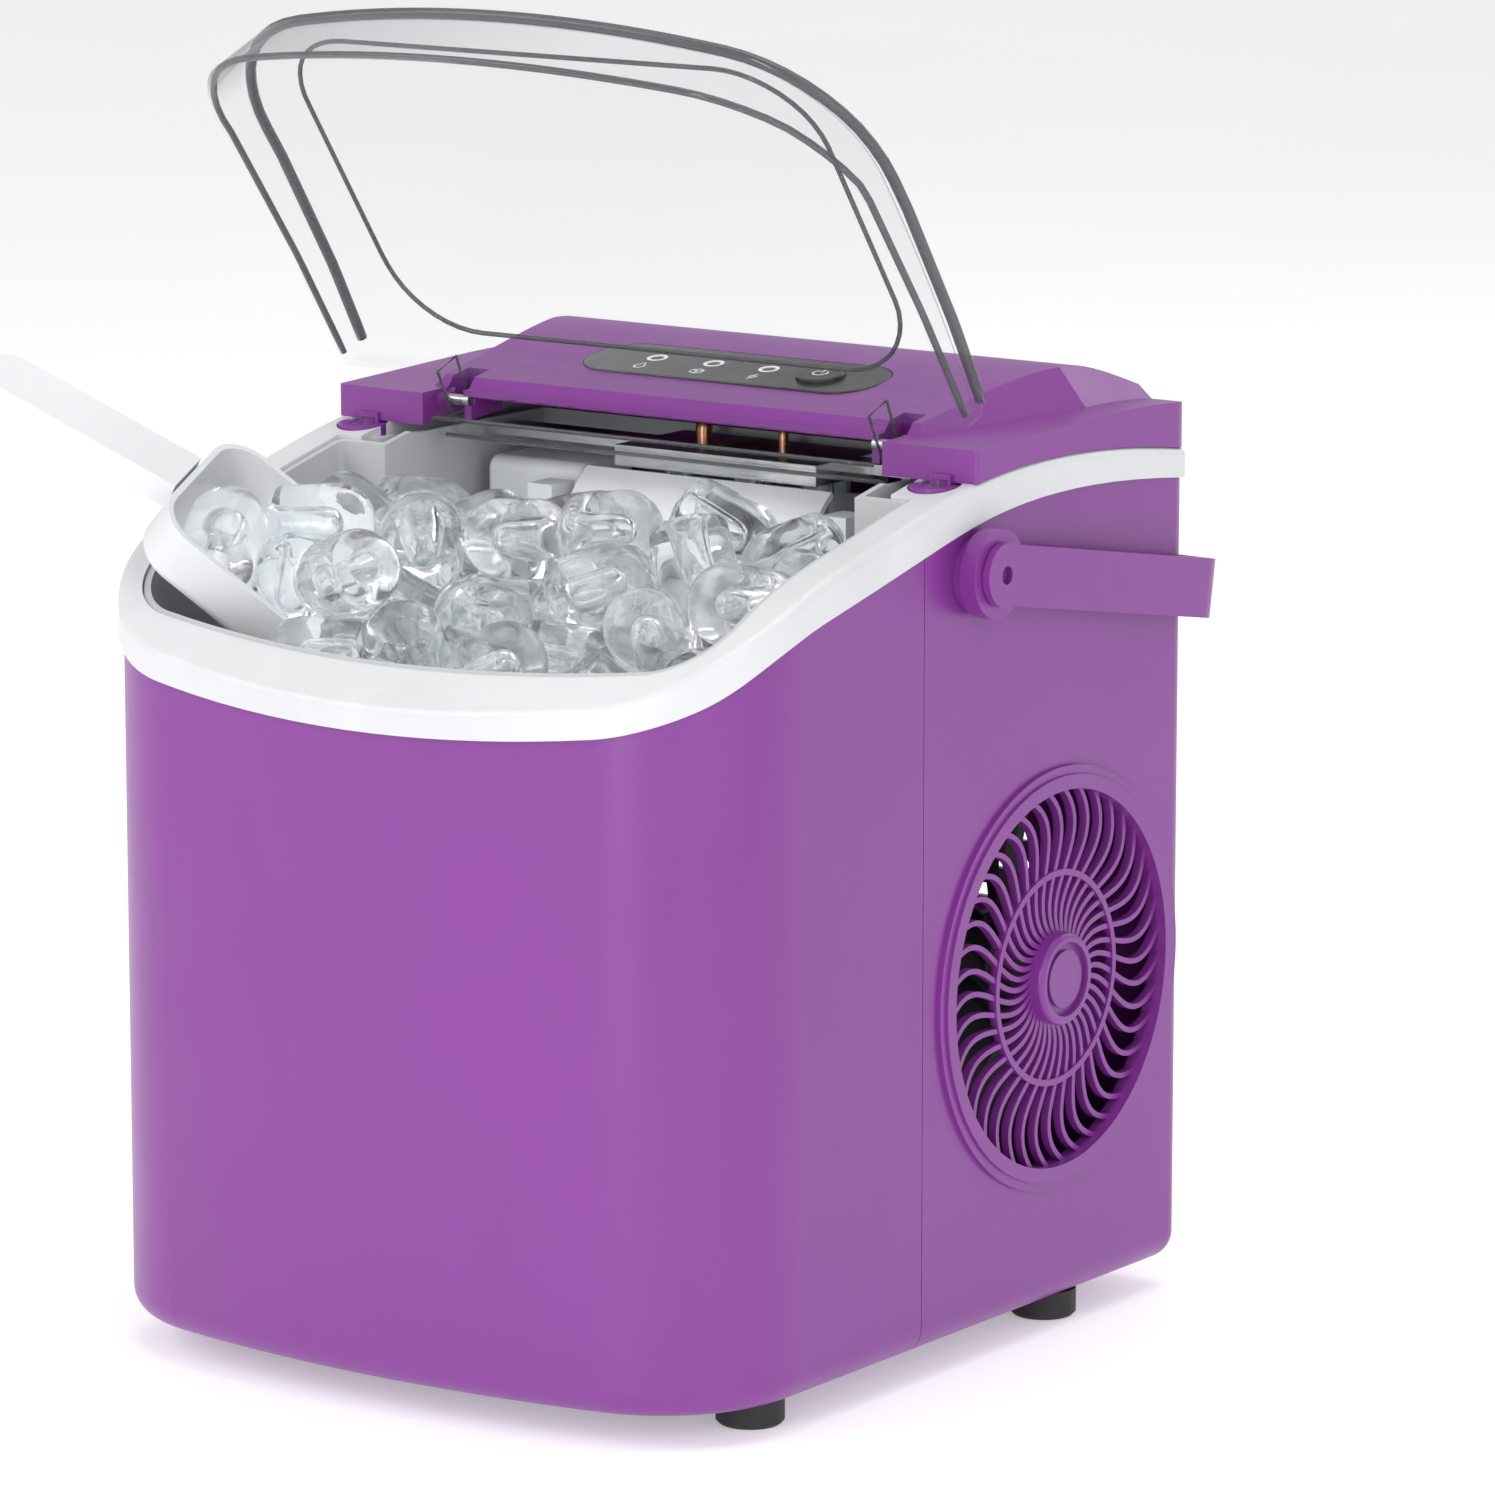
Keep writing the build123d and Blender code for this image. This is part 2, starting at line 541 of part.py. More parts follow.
# ---------------------------------------------------------------- carry handle
with BuildPart() as handle_level:
    with BuildSketch(Plane.YZ.offset(HANDLE_IN)):
        with Locations((HANDLE_Y, HANDLE_Z)):
            Circle(12.5)
            Rectangle(HANDLE_R + HANDLE_T, HANDLE_H, align=(Align.MIN, Align.CENTER))
    extrude(amount=HANDLE_T)
    with BuildSketch(Plane.YZ.offset(-HANDLE_IN)):
        with Locations((HANDLE_Y, HANDLE_Z)):
            Circle(12.5)
            Rectangle(HANDLE_R + HANDLE_T, HANDLE_H, align=(Align.MIN, Align.CENTER))
    extrude(amount=-HANDLE_T)
    with BuildSketch(Plane.XY.offset(HANDLE_Z - HANDLE_H / 2)):
        with Locations((0, HANDLE_Y + HANDLE_R)):
            Rectangle(2 * (HANDLE_IN + HANDLE_T), HANDLE_T, align=(Align.CENTER, Align.MIN))
    extrude(amount=HANDLE_H)
    corners = handle_level.edges().filter_by(Axis.Z).group_by(Axis.Y)[-1]
    fillet(corners, 9.0)
    inner = [e for e in handle_level.edges().filter_by(Axis.Z)
             if abs(abs(e.center().X) - HANDLE_IN) < 0.1 and abs(e.center().Y - HANDLE_Y - HANDLE_R) < 0.1]
    fillet(inner, 4.5)
    with Locations((0, HANDLE_Y, HANDLE_Z)):
        Cylinder(HANDLE_BORE, 300, rotation=(0, 90, 0), mode=Mode.SUBTRACT)
HANDLE_AXIS = Axis((0, HANDLE_Y, HANDLE_Z), (1, 0, 0))
with BuildPart() as carry_handle:
    add(handle_level.part.rotate(HANDLE_AXIS, -HANDLE_TILT))
save(carry_handle, "carry_handle")

with BuildPart() as handle_pivots:
    for side in (-1, 1):
        with BuildSketch(Plane.YZ.offset(side * (HALF_W + 0.0))):
            with Locations((HANDLE_Y, HANDLE_Z)):
                Circle(11.0)
        extrude(amount=side * (HANDLE_IN - HALF_W - GAP))
        with BuildSketch(Plane.YZ.offset(side * HALF_W)):
            with Locations((HANDLE_Y, HANDLE_Z)):
                Circle(HANDLE_BORE - 0.06)
        extrude(amount=side * (HANDLE_IN + HANDLE_T + 0.5 - HALF_W))
        with BuildSketch(Plane.YZ.offset(side * (HANDLE_IN + HANDLE_T + 0.3))):
            with Locations((HANDLE_Y, HANDLE_Z)):
                Circle(9.0)
                Circle(2.6, mode=Mode.SUBTRACT)
        extrude(amount=side * 2.2)
        with BuildSketch(Plane.YZ.offset(side * (HALF_W - WALL - 2))):
            with Locations((HANDLE_Y, HANDLE_Z)):
                Circle(4.0)
        extrude(amount=side * (WALL + 2))
save(handle_pivots, "handle_pivots")

BASKET_Z, BASKET_TOP, BASKET_BACK = 120.0, 192.0, -9.0
DRAIN_BORE = 5.0
PUMP_X, PUMP_Y, PUMP_Z, HOSE_X = -10.0, 17.0, 90.0, 76.0
PROBE_X, PROBE_Z = (30.0, 40.0, 50.0), 84.0
TRAY_HALF, STUB_R = 38.0, 3.0
SHOVEL_R, SHOVEL_HALF, SHOVEL_FROM, SHOVEL_SPAN = 34.0, 42.5, 124, 25
FINGER_R, FINGER_TOP, FINGER_LEN = 4.5, 240.0, 43.5

# ---------------------------------------------------------------- tank: reservoir in front, ice-making bay behind
TANK_CLEAR = 0.4                  # tank hangs inside the opening with this gap
TANK_WALL = 2.0
RESERVOIR_FLOOR, BAY_FLOOR = 72.0, 182.0
STEP_Y, BAY_BACK, BAY_HALF_W = -2.0, 74.0, 84.0
TANK_RIM = -1.0                   # tank top stops this far under the rim's top surface
BAY_TOP = 247.0


def tank_form(out, floor_front, floor_bay, back):
    """Solid form of the tank space grown by out, with the given floors."""
    with BuildPart() as form:
        with BuildSketch(Plane.XY.offset(floor_front)):
            add(plan(OPEN_HALF_W + out, OPEN_FRONT - out, STEP_Y + out, OPEN_BOW_R, 22 + out, 4.0 + out))
        extrude(amount=200)
        with BuildSketch(Plane.XY.offset(floor_bay)):
            with Locations((0, STEP_Y - 8)):
                Rectangle(2 * (BAY_HALF_W + out), back - STEP_Y + 8 + out, align=(Align.CENTER, Align.MIN))
        extrude(amount=80)
    return form.part


tank_out = tank_form(-TANK_CLEAR, RESERVOIR_FLOOR - TANK_WALL, BAY_FLOOR - TANK_WALL, BAY_BACK)
tank_in = tank_form(-TANK_CLEAR - TANK_WALL, RESERVOIR_FLOOR, BAY_FLOOR, BAY_BACK)

with BuildPart() as tank:
    add(tank_out)
    add(tank_in, mode=Mode.SUBTRACT)
    with BuildSketch(SIDE):
        add(under(RIM_TOP, TANK_RIM))
    extrude(amount=SPAN, mode=Mode.INTERSECT)
    with Locations((0, STEP_Y + 10, BAY_TOP)):
        Box(300, 200, 40, align=(Align.CENTER, Align.MIN, Align.MIN), mode=Mode.SUBTRACT)
    # ledges that carry the basket
    for side in (-1, 1):
        with Locations((side * (OPEN_HALF_W - TANK_CLEAR - 0.5), -52, BASKET_Z - 0.4)):
            Box(13, 70, 5, align=(Align.MAX if side > 0 else Align.MIN, Align.CENTER, Align.MAX))
    # slots in the back wall of the bay
    with BuildSketch(Plane.XZ.offset(-BAY_BACK)):
        with Locations((TRAY_X, 236)):
            with GridLocations(27, 0, 5, 1):
                Rectangle(19, 9)
    extrude(amount=12, both=True, mode=Mode.SUBTRACT)
    # drain spout through the left side
    with Locations((-OPEN_HALF_W + TANK_CLEAR + 1, DRAIN_Y, DRAIN_Z)):
        Cylinder(DRAIN_R, HALF_W - OPEN_HALF_W + TANK_CLEAR + 2.0, rotation=(0, -90, 0),
                 align=(Align.CENTER, Align.CENTER, Align.MIN))
    with Locations((-OPEN_HALF_W + 5, DRAIN_Y, DRAIN_Z)):
        Cylinder(DRAIN_BORE, 24, rotation=(0, -90, 0), align=(Align.CENTER, Align.CENTER, Align.MIN),
                 mode=Mode.SUBTRACT)
    # hole for the pump's suction pipe
    with Locations((PUMP_X, STEP_Y, 80)):
        Cylinder(4.0, 12, rotation=(90, 0, 0), mode=Mode.SUBTRACT)
    with Locations((HOSE_X, PUMP_Y, BAY_FLOOR)):
        Cylinder(3.5, 12, mode=Mode.SUBTRACT)
    with Locations(*[(x, STEP_Y, PROBE_Z) for x in PROBE_X]):
        Cylinder(1.5, 12, rotation=(90, 0, 0), mode=Mode.SUBTRACT)
save(tank, "tank")

with BuildPart() as drain_plug:
    with Locations((-HALF_W - 1.3, DRAIN_Y, DRAIN_Z)):
        Cylinder(11.0, 4.0, rotation=(0, -90, 0), align=(Align.CENTER, Align.CENTER, Align.MIN))
    fillet(drain_plug.faces().sort_by(Axis.X)[0].edges(), 1.2)
    with Locations((-HALF_W - 1.4, DRAIN_Y, DRAIN_Z)):
        Cylinder(DRAIN_BORE - 0.06, 8.5, rotation=(0, 90, 0), align=(Align.CENTER, Align.CENTER, Align.MIN))
    with Locations((-HALF_W - 5.3, DRAIN_Y, DRAIN_Z)):
        Box(3, 3, 14)
save(drain_plug, "drain_plug")

# ---------------------------------------------------------------- ice basket
BASKET_FLOOR = 2.0
with BuildPart() as ice_basket:
    with BuildSketch(Plane.XY.offset(BASKET_Z)):
        add(plan(92, -105.5, BASKET_BACK, OPEN_BOW_R, 20, 8))
    extrude(amount=BASKET_TOP - BASKET_Z)
    fillet(ice_basket.faces().sort_by(Axis.Z)[0].edges(), 5)
    with BuildSketch(Plane.XY.offset(BASKET_TOP - 2)):
        add(plan(95, -108.5, BASKET_BACK + 3, OPEN_BOW_R, 23, 11))
    extrude(amount=2)
    with BuildSketch(Plane.XY.offset(BASKET_Z + BASKET_FLOOR)):
        add(plan(90, -103.5, BASKET_BACK - 2, OPEN_BOW_R, 18, 6))
    extrude(amount=100, mode=Mode.SUBTRACT)
    # drain slots in the floor and melt-water slots in the sides
    with BuildSketch(Plane.XY.offset(BASKET_Z - 1)):
        with Locations((0, -54)):
            with GridLocations(22, 13, 7, 6):
                SlotOverall(14, 3.5)
    extrude(amount=6, mode=Mode.SUBTRACT)
    with BuildSketch(Plane.YZ):
        with Locations((-54, 160)):
            with GridLocations(12, 0, 6, 1):
                SlotOverall(30, 3.5, rotation=90)
    extrude(amount=120, both=True, mode=Mode.SUBTRACT)
save(ice_basket, "ice_basket")

# ---------------------------------------------------------------- ice-making bay
with BuildPart() as water_tray:
    with BuildSketch(Plane.YZ.offset(TRAY_X - TRAY_HALF)):
        with Locations((TRAY_Y, TRAY_Z)):
            Circle(TRAY_R + 2)
    extrude(amount=2 * TRAY_HALF)
    with BuildSketch(Plane.YZ.offset(TRAY_X - TRAY_HALF + 2)):
        with Locations((TRAY_Y, TRAY_Z)):
            Circle(TRAY_R)
    extrude(amount=2 * TRAY_HALF - 4, mode=Mode.SUBTRACT)
    with Locations((TRAY_X, TRAY_Y, TRAY_Z + 4)):
        Box(200, 100, 60, align=(Align.CENTER, Align.CENTER, Align.MIN), mode=Mode.SUBTRACT)
    for side in (-1, 1):
        with Locations((TRAY_X + side * (TRAY_HALF - 1), TRAY_Y, TRAY_Z)):
            Cylinder(STUB_R, 50 - TRAY_HALF, rotation=(0, side * 90, 0),
                     align=(Align.CENTER, Align.CENTER, Align.MIN))
            Cylinder(5.5, 2, rotation=(0, side * 90, 0), align=(Align.CENTER, Align.CENTER, Align.MAX))
    with Locations((TRAY_X + TRAY_HALF - 5, TRAY_Y, TRAY_Z)):
        Cylinder(1.6, 30, rotation=(0, 90, 0), align=(Align.CENTER, Align.CENTER, Align.MIN), mode=Mode.SUBTRACT)
save(water_tray, "water_tray")

with BuildPart() as ice_shovel:
    with BuildSketch(Plane.YZ.offset(TRAY_X - SHOVEL_HALF)):
        with BuildLine():
            shovel_out = CenterArc((TRAY_Y, TRAY_Z), SHOVEL_R + 1.8, SHOVEL_FROM, SHOVEL_SPAN)
            shovel_in = CenterArc((TRAY_Y, TRAY_Z), SHOVEL_R, SHOVEL_FROM, SHOVEL_SPAN)
            Line(shovel_out @ 0, shovel_in @ 0)
            Line(shovel_out @ 1, shovel_in @ 1)
        make_face()
    extrude(amount=2 * SHOVEL_HALF)
    with BuildSketch(Plane.YZ.offset(TRAY_X - SHOVEL_HALF)) as arm_sketch:
        with BuildLine():
            arm_arc = CenterArc((TRAY_Y, TRAY_Z), SHOVEL_R + 1, SHOVEL_FROM + 4, SHOVEL_SPAN - 8)
            Polyline(arm_arc @ 1, (TRAY_Y - 2, TRAY_Z - 5), (TRAY_Y + 4, TRAY_Z), arm_arc @ 0)
        make_face()
        with Locations((TRAY_Y, TRAY_Z)):
            Circle(6)
            Circle(STUB_R + 0.06, mode=Mode.SUBTRACT)
    extrude(amount=1.8)
    add(arm_sketch.sketch.moved(Location((2 * SHOVEL_HALF - 1.8, 0, 0))))
    extrude(amount=1.8)
save(ice_shovel, "ice_shovel")

with BuildPart() as tray_motor:
    with Locations((-58, TRAY_Y, BAY_FLOOR + 0.1)):
        Box(34, 26, 56, align=(Align.CENTER, Align.CENTER, Align.MIN))
    fillet(tray_motor.edges().filter_by(Axis.X).group_by(Axis.Z)[-1], 4)
    fillet(tray_motor.edges().filter_by(Axis.Y).group_by(Axis.Z)[-1], 2)
    with Locations((-46, TRAY_Y, TRAY_Z)):
        Cylinder(STUB_R + 0.06, 20, rotation=(0, 90, 0), align=(Align.CENTER, Align.CENTER, Align.MIN),
                 mode=Mode.SUBTRACT)
save(tray_motor, "tray_motor")

with BuildPart() as tray_bracket:
    with Locations((TRAY_X + 47.5, TRAY_Y, BAY_FLOOR + 0.1)):
        Box(4, 16, TRAY_Z - BAY_FLOOR + 6, align=(Align.CENTER, Align.CENTER, Align.MIN))
        Box(4, 26, 3, align=(Align.CENTER, Align.CENTER, Align.MIN))
    fillet(tray_bracket.edges().filter_by(Axis.X).group_by(Axis.Z)[-1], 6)
    with Locations((TRAY_X + 40, TRAY_Y, TRAY_Z)):
        Cylinder(STUB_R + 0.06, 20, rotation=(0, 90, 0), align=(Align.CENTER, Align.CENTER, Align.MIN),
                 mode=Mode.SUBTRACT)
save(tray_bracket, "tray_bracket")

with BuildPart() as evaporator:
    with Locations((TRAY_X, TRAY_Y, FINGER_TOP)):
        Box(70, 34, 6, align=(Align.CENTER, Align.CENTER, Align.MIN))
        with GridLocations(24, 11, 3, 1):
            Cylinder(FINGER_R, FINGER_LEN - FINGER_R, align=(Align.CENTER, Align.CENTER, Align.MAX))
    with Locations((TRAY_X, TRAY_Y, FINGER_TOP - FINGER_LEN + FINGER_R)):
        with GridLocations(24, 11, 3, 1):
            Sphere(FINGER_R)
    with Locations((0, TRAY_Y, FINGER_TOP + 3)):
        Box(162, 10, 3, align=(Align.CENTER, Align.CENTER, Align.MIN))
save(evaporator, "evaporator")

with BuildPart() as ice_sensors:
    for side in (-1, 1):
        with Locations((TRAY_X + side * 51, 23, BAY_FLOOR + 0.1)):
            Box(6, 7, 44, align=(Align.CENTER, Align.CENTER, Align.MIN))
        with Locations((TRAY_X + side * 51, 22, 224)):
            Box(8.5, 11, 11, align=(Align.CENTER, Align.CENTER, Align.MIN))
save(ice_sensors, "ice_sensors")

# ---------------------------------------------------------------- scoop, leaning over the left of the rim
SCOOP_W, SCOOP_L, SCOOP_DEEP, SCOOP_WALL = 54.0, 60.0, 17.0, 1.8
SCOOP_HANDLE_L, SCOOP_HANDLE_W, SCOOP_HANDLE_T = 66.0, 18.0, 8.0
SCOOP_PLANE = Plane((-82.0, -107.5, 239.0), x_dir=(0.686, 0.375, -0.625), z_dir=(0.690, -0.058, 0.721))

SCOOP_HANDLE_PLANE = Plane(SCOOP_PLANE.location * Location((0, SCOOP_W / 2, -1), (0, -12, 0)))
with BuildPart() as scoop_bowl:
    with BuildSketch(SCOOP_PLANE):
        with Locations((SCOOP_L, SCOOP_W / 2)):
            RectangleRounded(2 * SCOOP_L, SCOOP_W, 13)
        with Locations((SCOOP_L, 0)):
            Rectangle(2 * SCOOP_L, 2 * SCOOP_W, align=(Align.MIN, Align.CENTER), mode=Mode.SUBTRACT)
    extrude(amount=-SCOOP_DEEP)
    fillet(scoop_bowl.faces().filter_by(SCOOP_PLANE).sort_by(Axis.Z)[0].edges(), 4)
with BuildPart() as ice_scoop:
    add(scoop_bowl.part)
    with BuildSketch(SCOOP_PLANE):
        with Locations((SCOOP_L + 10, SCOOP_W / 2)):
            RectangleRounded(2 * SCOOP_L + 20 - 2 * SCOOP_WALL, SCOOP_W - 2 * SCOOP_WALL, 13 - SCOOP_WALL)
    extrude(amount=-(SCOOP_DEEP - SCOOP_WALL), mode=Mode.SUBTRACT)
    with BuildSketch(SCOOP_HANDLE_PLANE):
        with Locations((0, 0)):
            SlotOverall(2 * SCOOP_HANDLE_L, SCOOP_HANDLE_W)
        with Locations((-1, 0)):
            Rectangle(200, 60, align=(Align.MIN, Align.CENTER), mode=Mode.SUBTRACT)
    extrude(amount=-SCOOP_HANDLE_T)
    with BuildSketch(SCOOP_HANDLE_PLANE.offset(-2)):
        with Locations((-8, 0)):
            SlotOverall(2 * SCOOP_HANDLE_L - 20, SCOOP_HANDLE_W - 5)
        with Locations((-7, 0)):
            Rectangle(200, 60, align=(Align.MIN, Align.CENTER), mode=Mode.SUBTRACT)
    extrude(amount=-SCOOP_HANDLE_T, mode=Mode.SUBTRACT)
save(ice_scoop, "ice_scoop")

# ---------------------------------------------------------------- fan, grille and condenser
VANES, VANE_T, GRILLE_IN, HUB_R, MID_R = 40, 1.5, 54.0, 13.2, 30.0
GRILLE_X = HALF_W - 1.0           # inner face of the grille
with BuildSketch() as vane:
    with BuildLine():
        Spline((HUB_R - 1, 0), (HUB_R + 8, 3.2), (MID_R + 6, -1.5), (GRILLE_IN + 1, 6.5))
    trace(line_width=VANE_T)
with BuildPart() as grille_ring:
    with BuildSketch(Plane.YZ.offset(GRILLE_X - 3)):
        with Locations((FAN_Y, FAN_Z)):
            Circle(GRILLE_R - 3.8)
            Circle(GRILLE_IN, mode=Mode.SUBTRACT)
    extrude(amount=5)
    with BuildSketch(Plane.YZ.offset(HALF_W)):
        with Locations((FAN_Y, FAN_Z)):
            Circle(GRILLE_R)
            Circle(GRILLE_IN, mode=Mode.SUBTRACT)
    extrude(amount=1.2)
    with BuildSketch(Plane.YZ.offset(HALF_W + 1.2)):
        with Locations((FAN_Y, FAN_Z)):
            Circle(GRILLE_R - 2.6)
            Circle(GRILLE_IN, mode=Mode.SUBTRACT)
    extrude(amount=0.8)
    # vanes, each a shallow S from the hub to the rim
    with BuildSketch(Plane.YZ.offset(GRILLE_X - 2)):
        for k in range(VANES):
            turned = vane.sketch.rotate(Axis.Z, k * 360 / VANES)
            add(turned.moved(Location((FAN_Y, FAN_Z, 0))))
    extrude(amount=2.4)

with BuildPart() as fan_hub:
    with BuildSketch(Plane.YZ.offset(GRILLE_X - 2)):
        with Locations((FAN_Y, FAN_Z)):
            Circle(HUB_R)
    extrude(amount=6.5)
    fillet(fan_hub.faces().sort_by(Axis.X)[-1].edges(), 1.5)
    with BuildSketch(Plane.YZ.offset(GRILLE_X + 2.8)):
        with Locations((FAN_Y, FAN_Z)):
            Circle(HUB_R - 2.6)
    extrude(amount=6, mode=Mode.SUBTRACT)
    with BuildSketch(Plane.YZ.offset(GRILLE_X + 2.8)):
        with Locations((FAN_Y, FAN_Z)):
            Circle(HUB_R - 5.0)
    extrude(amount=1.0)
with BuildPart() as fan_grille:
    add(grille_ring.part)
    add(fan_hub.part)
    with BuildSketch(Plane.YZ.offset(GRILLE_X - 1.6)):
        with Locations((FAN_Y, FAN_Z)):
            Circle(MID_R + 0.9)
            Circle(MID_R - 0.9, mode=Mode.SUBTRACT)
    extrude(amount=2.4)
save(fan_grille, "fan_grille")

BLADE_R, BLADE_X, BLADE_W = 49.0, 88.0, 11.0
with BuildPart() as one_blade:
    with BuildSketch(Plane.XZ.offset(-FAN_Y - 10)):
        with Locations((BLADE_X, FAN_Z)):
            Rectangle(2.0, 26, rotation=-38)
    extrude(amount=-(BLADE_R - 10))
with BuildPart() as fan_blade:
    with Locations((BLADE_X - 7, FAN_Y, FAN_Z)):
        Cylinder(13, 14, rotation=(0, 90, 0), align=(Align.CENTER, Align.CENTER, Align.MIN))
    fillet(fan_blade.faces().sort_by(Axis.X)[-1].edges(), 2)
    for k in range(5):
        add(one_blade.part.rotate(Axis((0, FAN_Y, FAN_Z), (1, 0, 0)), k * 72))
    with BuildSketch(Plane.YZ):
        with Locations((FAN_Y, FAN_Z)):
            Circle(BLADE_R)
    extrude(amount=150, mode=Mode.INTERSECT)
    with Locations((BLADE_X - 10, FAN_Y, FAN_Z)):
        Cylinder(1.56, 12, rotation=(0, 90, 0), align=(Align.CENTER, Align.CENTER, Align.MIN), mode=Mode.SUBTRACT)
save(fan_blade, "fan_blade")

MOTOR_R, MOTOR_X, MOTOR_L = 17.0, 56.0, 22.0
with BuildPart() as fan_motor:
    with Locations((MOTOR_X, FAN_Y, FAN_Z)):
        Cylinder(MOTOR_R, MOTOR_L, rotation=(0, 90, 0), align=(Align.CENTER, Align.CENTER, Align.MIN))
    fillet(fan_motor.edges().filter_by(GeomType.CIRCLE), 2)
    with Locations((MOTOR_X + MOTOR_L, FAN_Y, FAN_Z)):
        Cylinder(1.5, 10, rotation=(0, 90, 0), align=(Align.CENTER, Align.CENTER, Align.MIN))
save(fan_motor, "fan_motor")

with BuildPart() as fan_bracket:
    with BuildSketch(Plane.YZ.offset(MOTOR_X - 3)):
        with Locations((FAN_Y, FAN_Z)):
            Rectangle(104, 104)
            Circle(BLADE_R + 2, mode=Mode.SUBTRACT)
        with Locations((FAN_Y, FAN_Z)):
            Rectangle(8, 104)
            Rectangle(104, 8)
            Circle(MOTOR_R + 2)
    extrude(amount=2.8)
    with Locations((MOTOR_X - 3, FAN_Y, BASE_TOP)):
        Box(2.8, 60, FAN_Z - 52 - BASE_TOP + 1, align=(Align.MIN, Align.CENTER, Align.MIN))
        Box(14, 60, 2, align=(Align.MIN, Align.CENTER, Align.MIN))
save(fan_bracket, "fan_bracket")

FIN_N, FIN_T, FIN_PITCH = 24, 0.8, 4.0
COND_X, COND_D, COND_H, COND_Z = 34.0, 16.0, 96.0, 26.0
with BuildPart() as condenser:
    with Locations((COND_X, FAN_Y, COND_Z)):
        with GridLocations(0, FIN_PITCH, 1, FIN_N):
            Box(COND_D, FIN_T, COND_H, align=(Align.MIN, Align.CENTER, Align.MIN))
    with Locations(*[(COND_X + COND_D / 2, FAN_Y, COND_Z + 8 + k * 16) for k in range(6)]):
        Cylinder(2.5, FIN_N * FIN_PITCH + 4, rotation=(90, 0, 0))
    for side in (-1, 1):
        for k in range(3):
            with Locations((COND_X + COND_D / 2, FAN_Y + side * (FIN_N * FIN_PITCH / 2 + 1), COND_Z + 16 + k * 32)):
                Box(5, 4, 21)
    with Locations((COND_X, FAN_Y, BASE_TOP)):
        Box(COND_D, 90, 3, align=(Align.MIN, Align.CENTER, Align.MIN))
        with GridLocations(0, 86, 1, 2):
            Box(COND_D, 3, COND_Z - BASE_TOP + 1, align=(Align.MIN, Align.CENTER, Align.MIN))
save(condenser, "condenser")

# ---------------------------------------------------------------- base, compressor and pipes
with BuildPart() as base_plate:
    with BuildSketch(Plane.XY.offset(BASE_Z + WALL)):
        add(body_plan(-9))
        with Locations(*COMP_FEET):
            Circle(3.1, mode=Mode.SUBTRACT)
        with Locations(*FEET):
            Circle(2.1, mode=Mode.SUBTRACT)
        with Locations((-62, -60), (62, -60)):
            with GridLocations(0, 12, 1, 5):
                SlotOverall(50, 4, mode=Mode.SUBTRACT)
    extrude(amount=BASE_TOP - BASE_Z - WALL)
save(base_plate, "base_plate")

with BuildPart() as rubber_feet:
    with Locations(*FEET):
        Cylinder(9.5, BASE_Z, align=(Align.CENTER, Align.CENTER, Align.MIN))
    chamfer(rubber_feet.faces().group_by(Axis.Z)[0].edges(), 1.0)
    with Locations(*FEET):
        Cylinder(2.1, 40, mode=Mode.SUBTRACT)
        Cylinder(4.5, 3, align=(Align.CENTER, Align.CENTER, Align.MIN), mode=Mode.SUBTRACT)
save(rubber_feet, "rubber_feet")

with BuildPart() as foot_screws:
    with Locations(*[(x, y, 1.0) for x, y in FEET]):
        Cylinder(4.0, 2.0, align=(Align.CENTER, Align.CENTER, Align.MIN))
        Cylinder(2.0, 14, align=(Align.CENTER, Align.CENTER, Align.MIN))
        Box(5, 1, 0.8, align=(Align.CENTER, Align.CENTER, Align.MIN), mode=Mode.SUBTRACT)
save(foot_screws, "foot_screws")

with BuildPart() as compressor:
    with Locations((COMP_X, COMP_Y, COMP_Z)):
        Cylinder(COMP_R, COMP_H, align=(Align.CENTER, Align.CENTER, Align.MIN))
    fillet(compressor.edges().filter_by(GeomType.CIRCLE).sort_by(Axis.Z)[-1], 22)
    fillet(compressor.edges().filter_by(GeomType.CIRCLE).sort_by(Axis.Z)[0], 10)
    with Locations((COMP_X, COMP_Y, COMP_Z + COMP_H * 0.45)):
        Cylinder(COMP_R + 1.5, 6)
    with Locations((COMP_X, COMP_Y, COMP_Z)):
        Box(76, 60, 2.5)
    with Locations((COMP_X + COMP_R - 3, COMP_Y - 6, COMP_Z + 50)):
        Box(12, 26, 30)
    with Locations(*[(x, y, 0) for x, y in COMP_FEET]):
        Cylinder(3.1, 60, mode=Mode.SUBTRACT)
save(compressor, "compressor")

with BuildPart() as compressor_mounts:
    with Locations(*[(x, y, BASE_TOP) for x, y in COMP_FEET]):
        Cylinder(6.0, COMP_Z - 1.25 - BASE_TOP, align=(Align.CENTER, Align.CENTER, Align.MIN))
        Cylinder(3.0, COMP_Z - BASE_TOP + 4, align=(Align.CENTER, Align.CENTER, Align.MIN))
    with Locations(*[(x, y, COMP_Z + 1.25) for x, y in COMP_FEET]):
        Cylinder(5.0, 2.5, align=(Align.CENTER, Align.CENTER, Align.MIN))
    with Locations(*[(x, y, BASE_Z + WALL) for x, y in COMP_FEET]):
        Cylinder(3.0, 4, align=(Align.CENTER, Align.CENTER, Align.MIN))
save(compressor_mounts, "compressor_mounts")

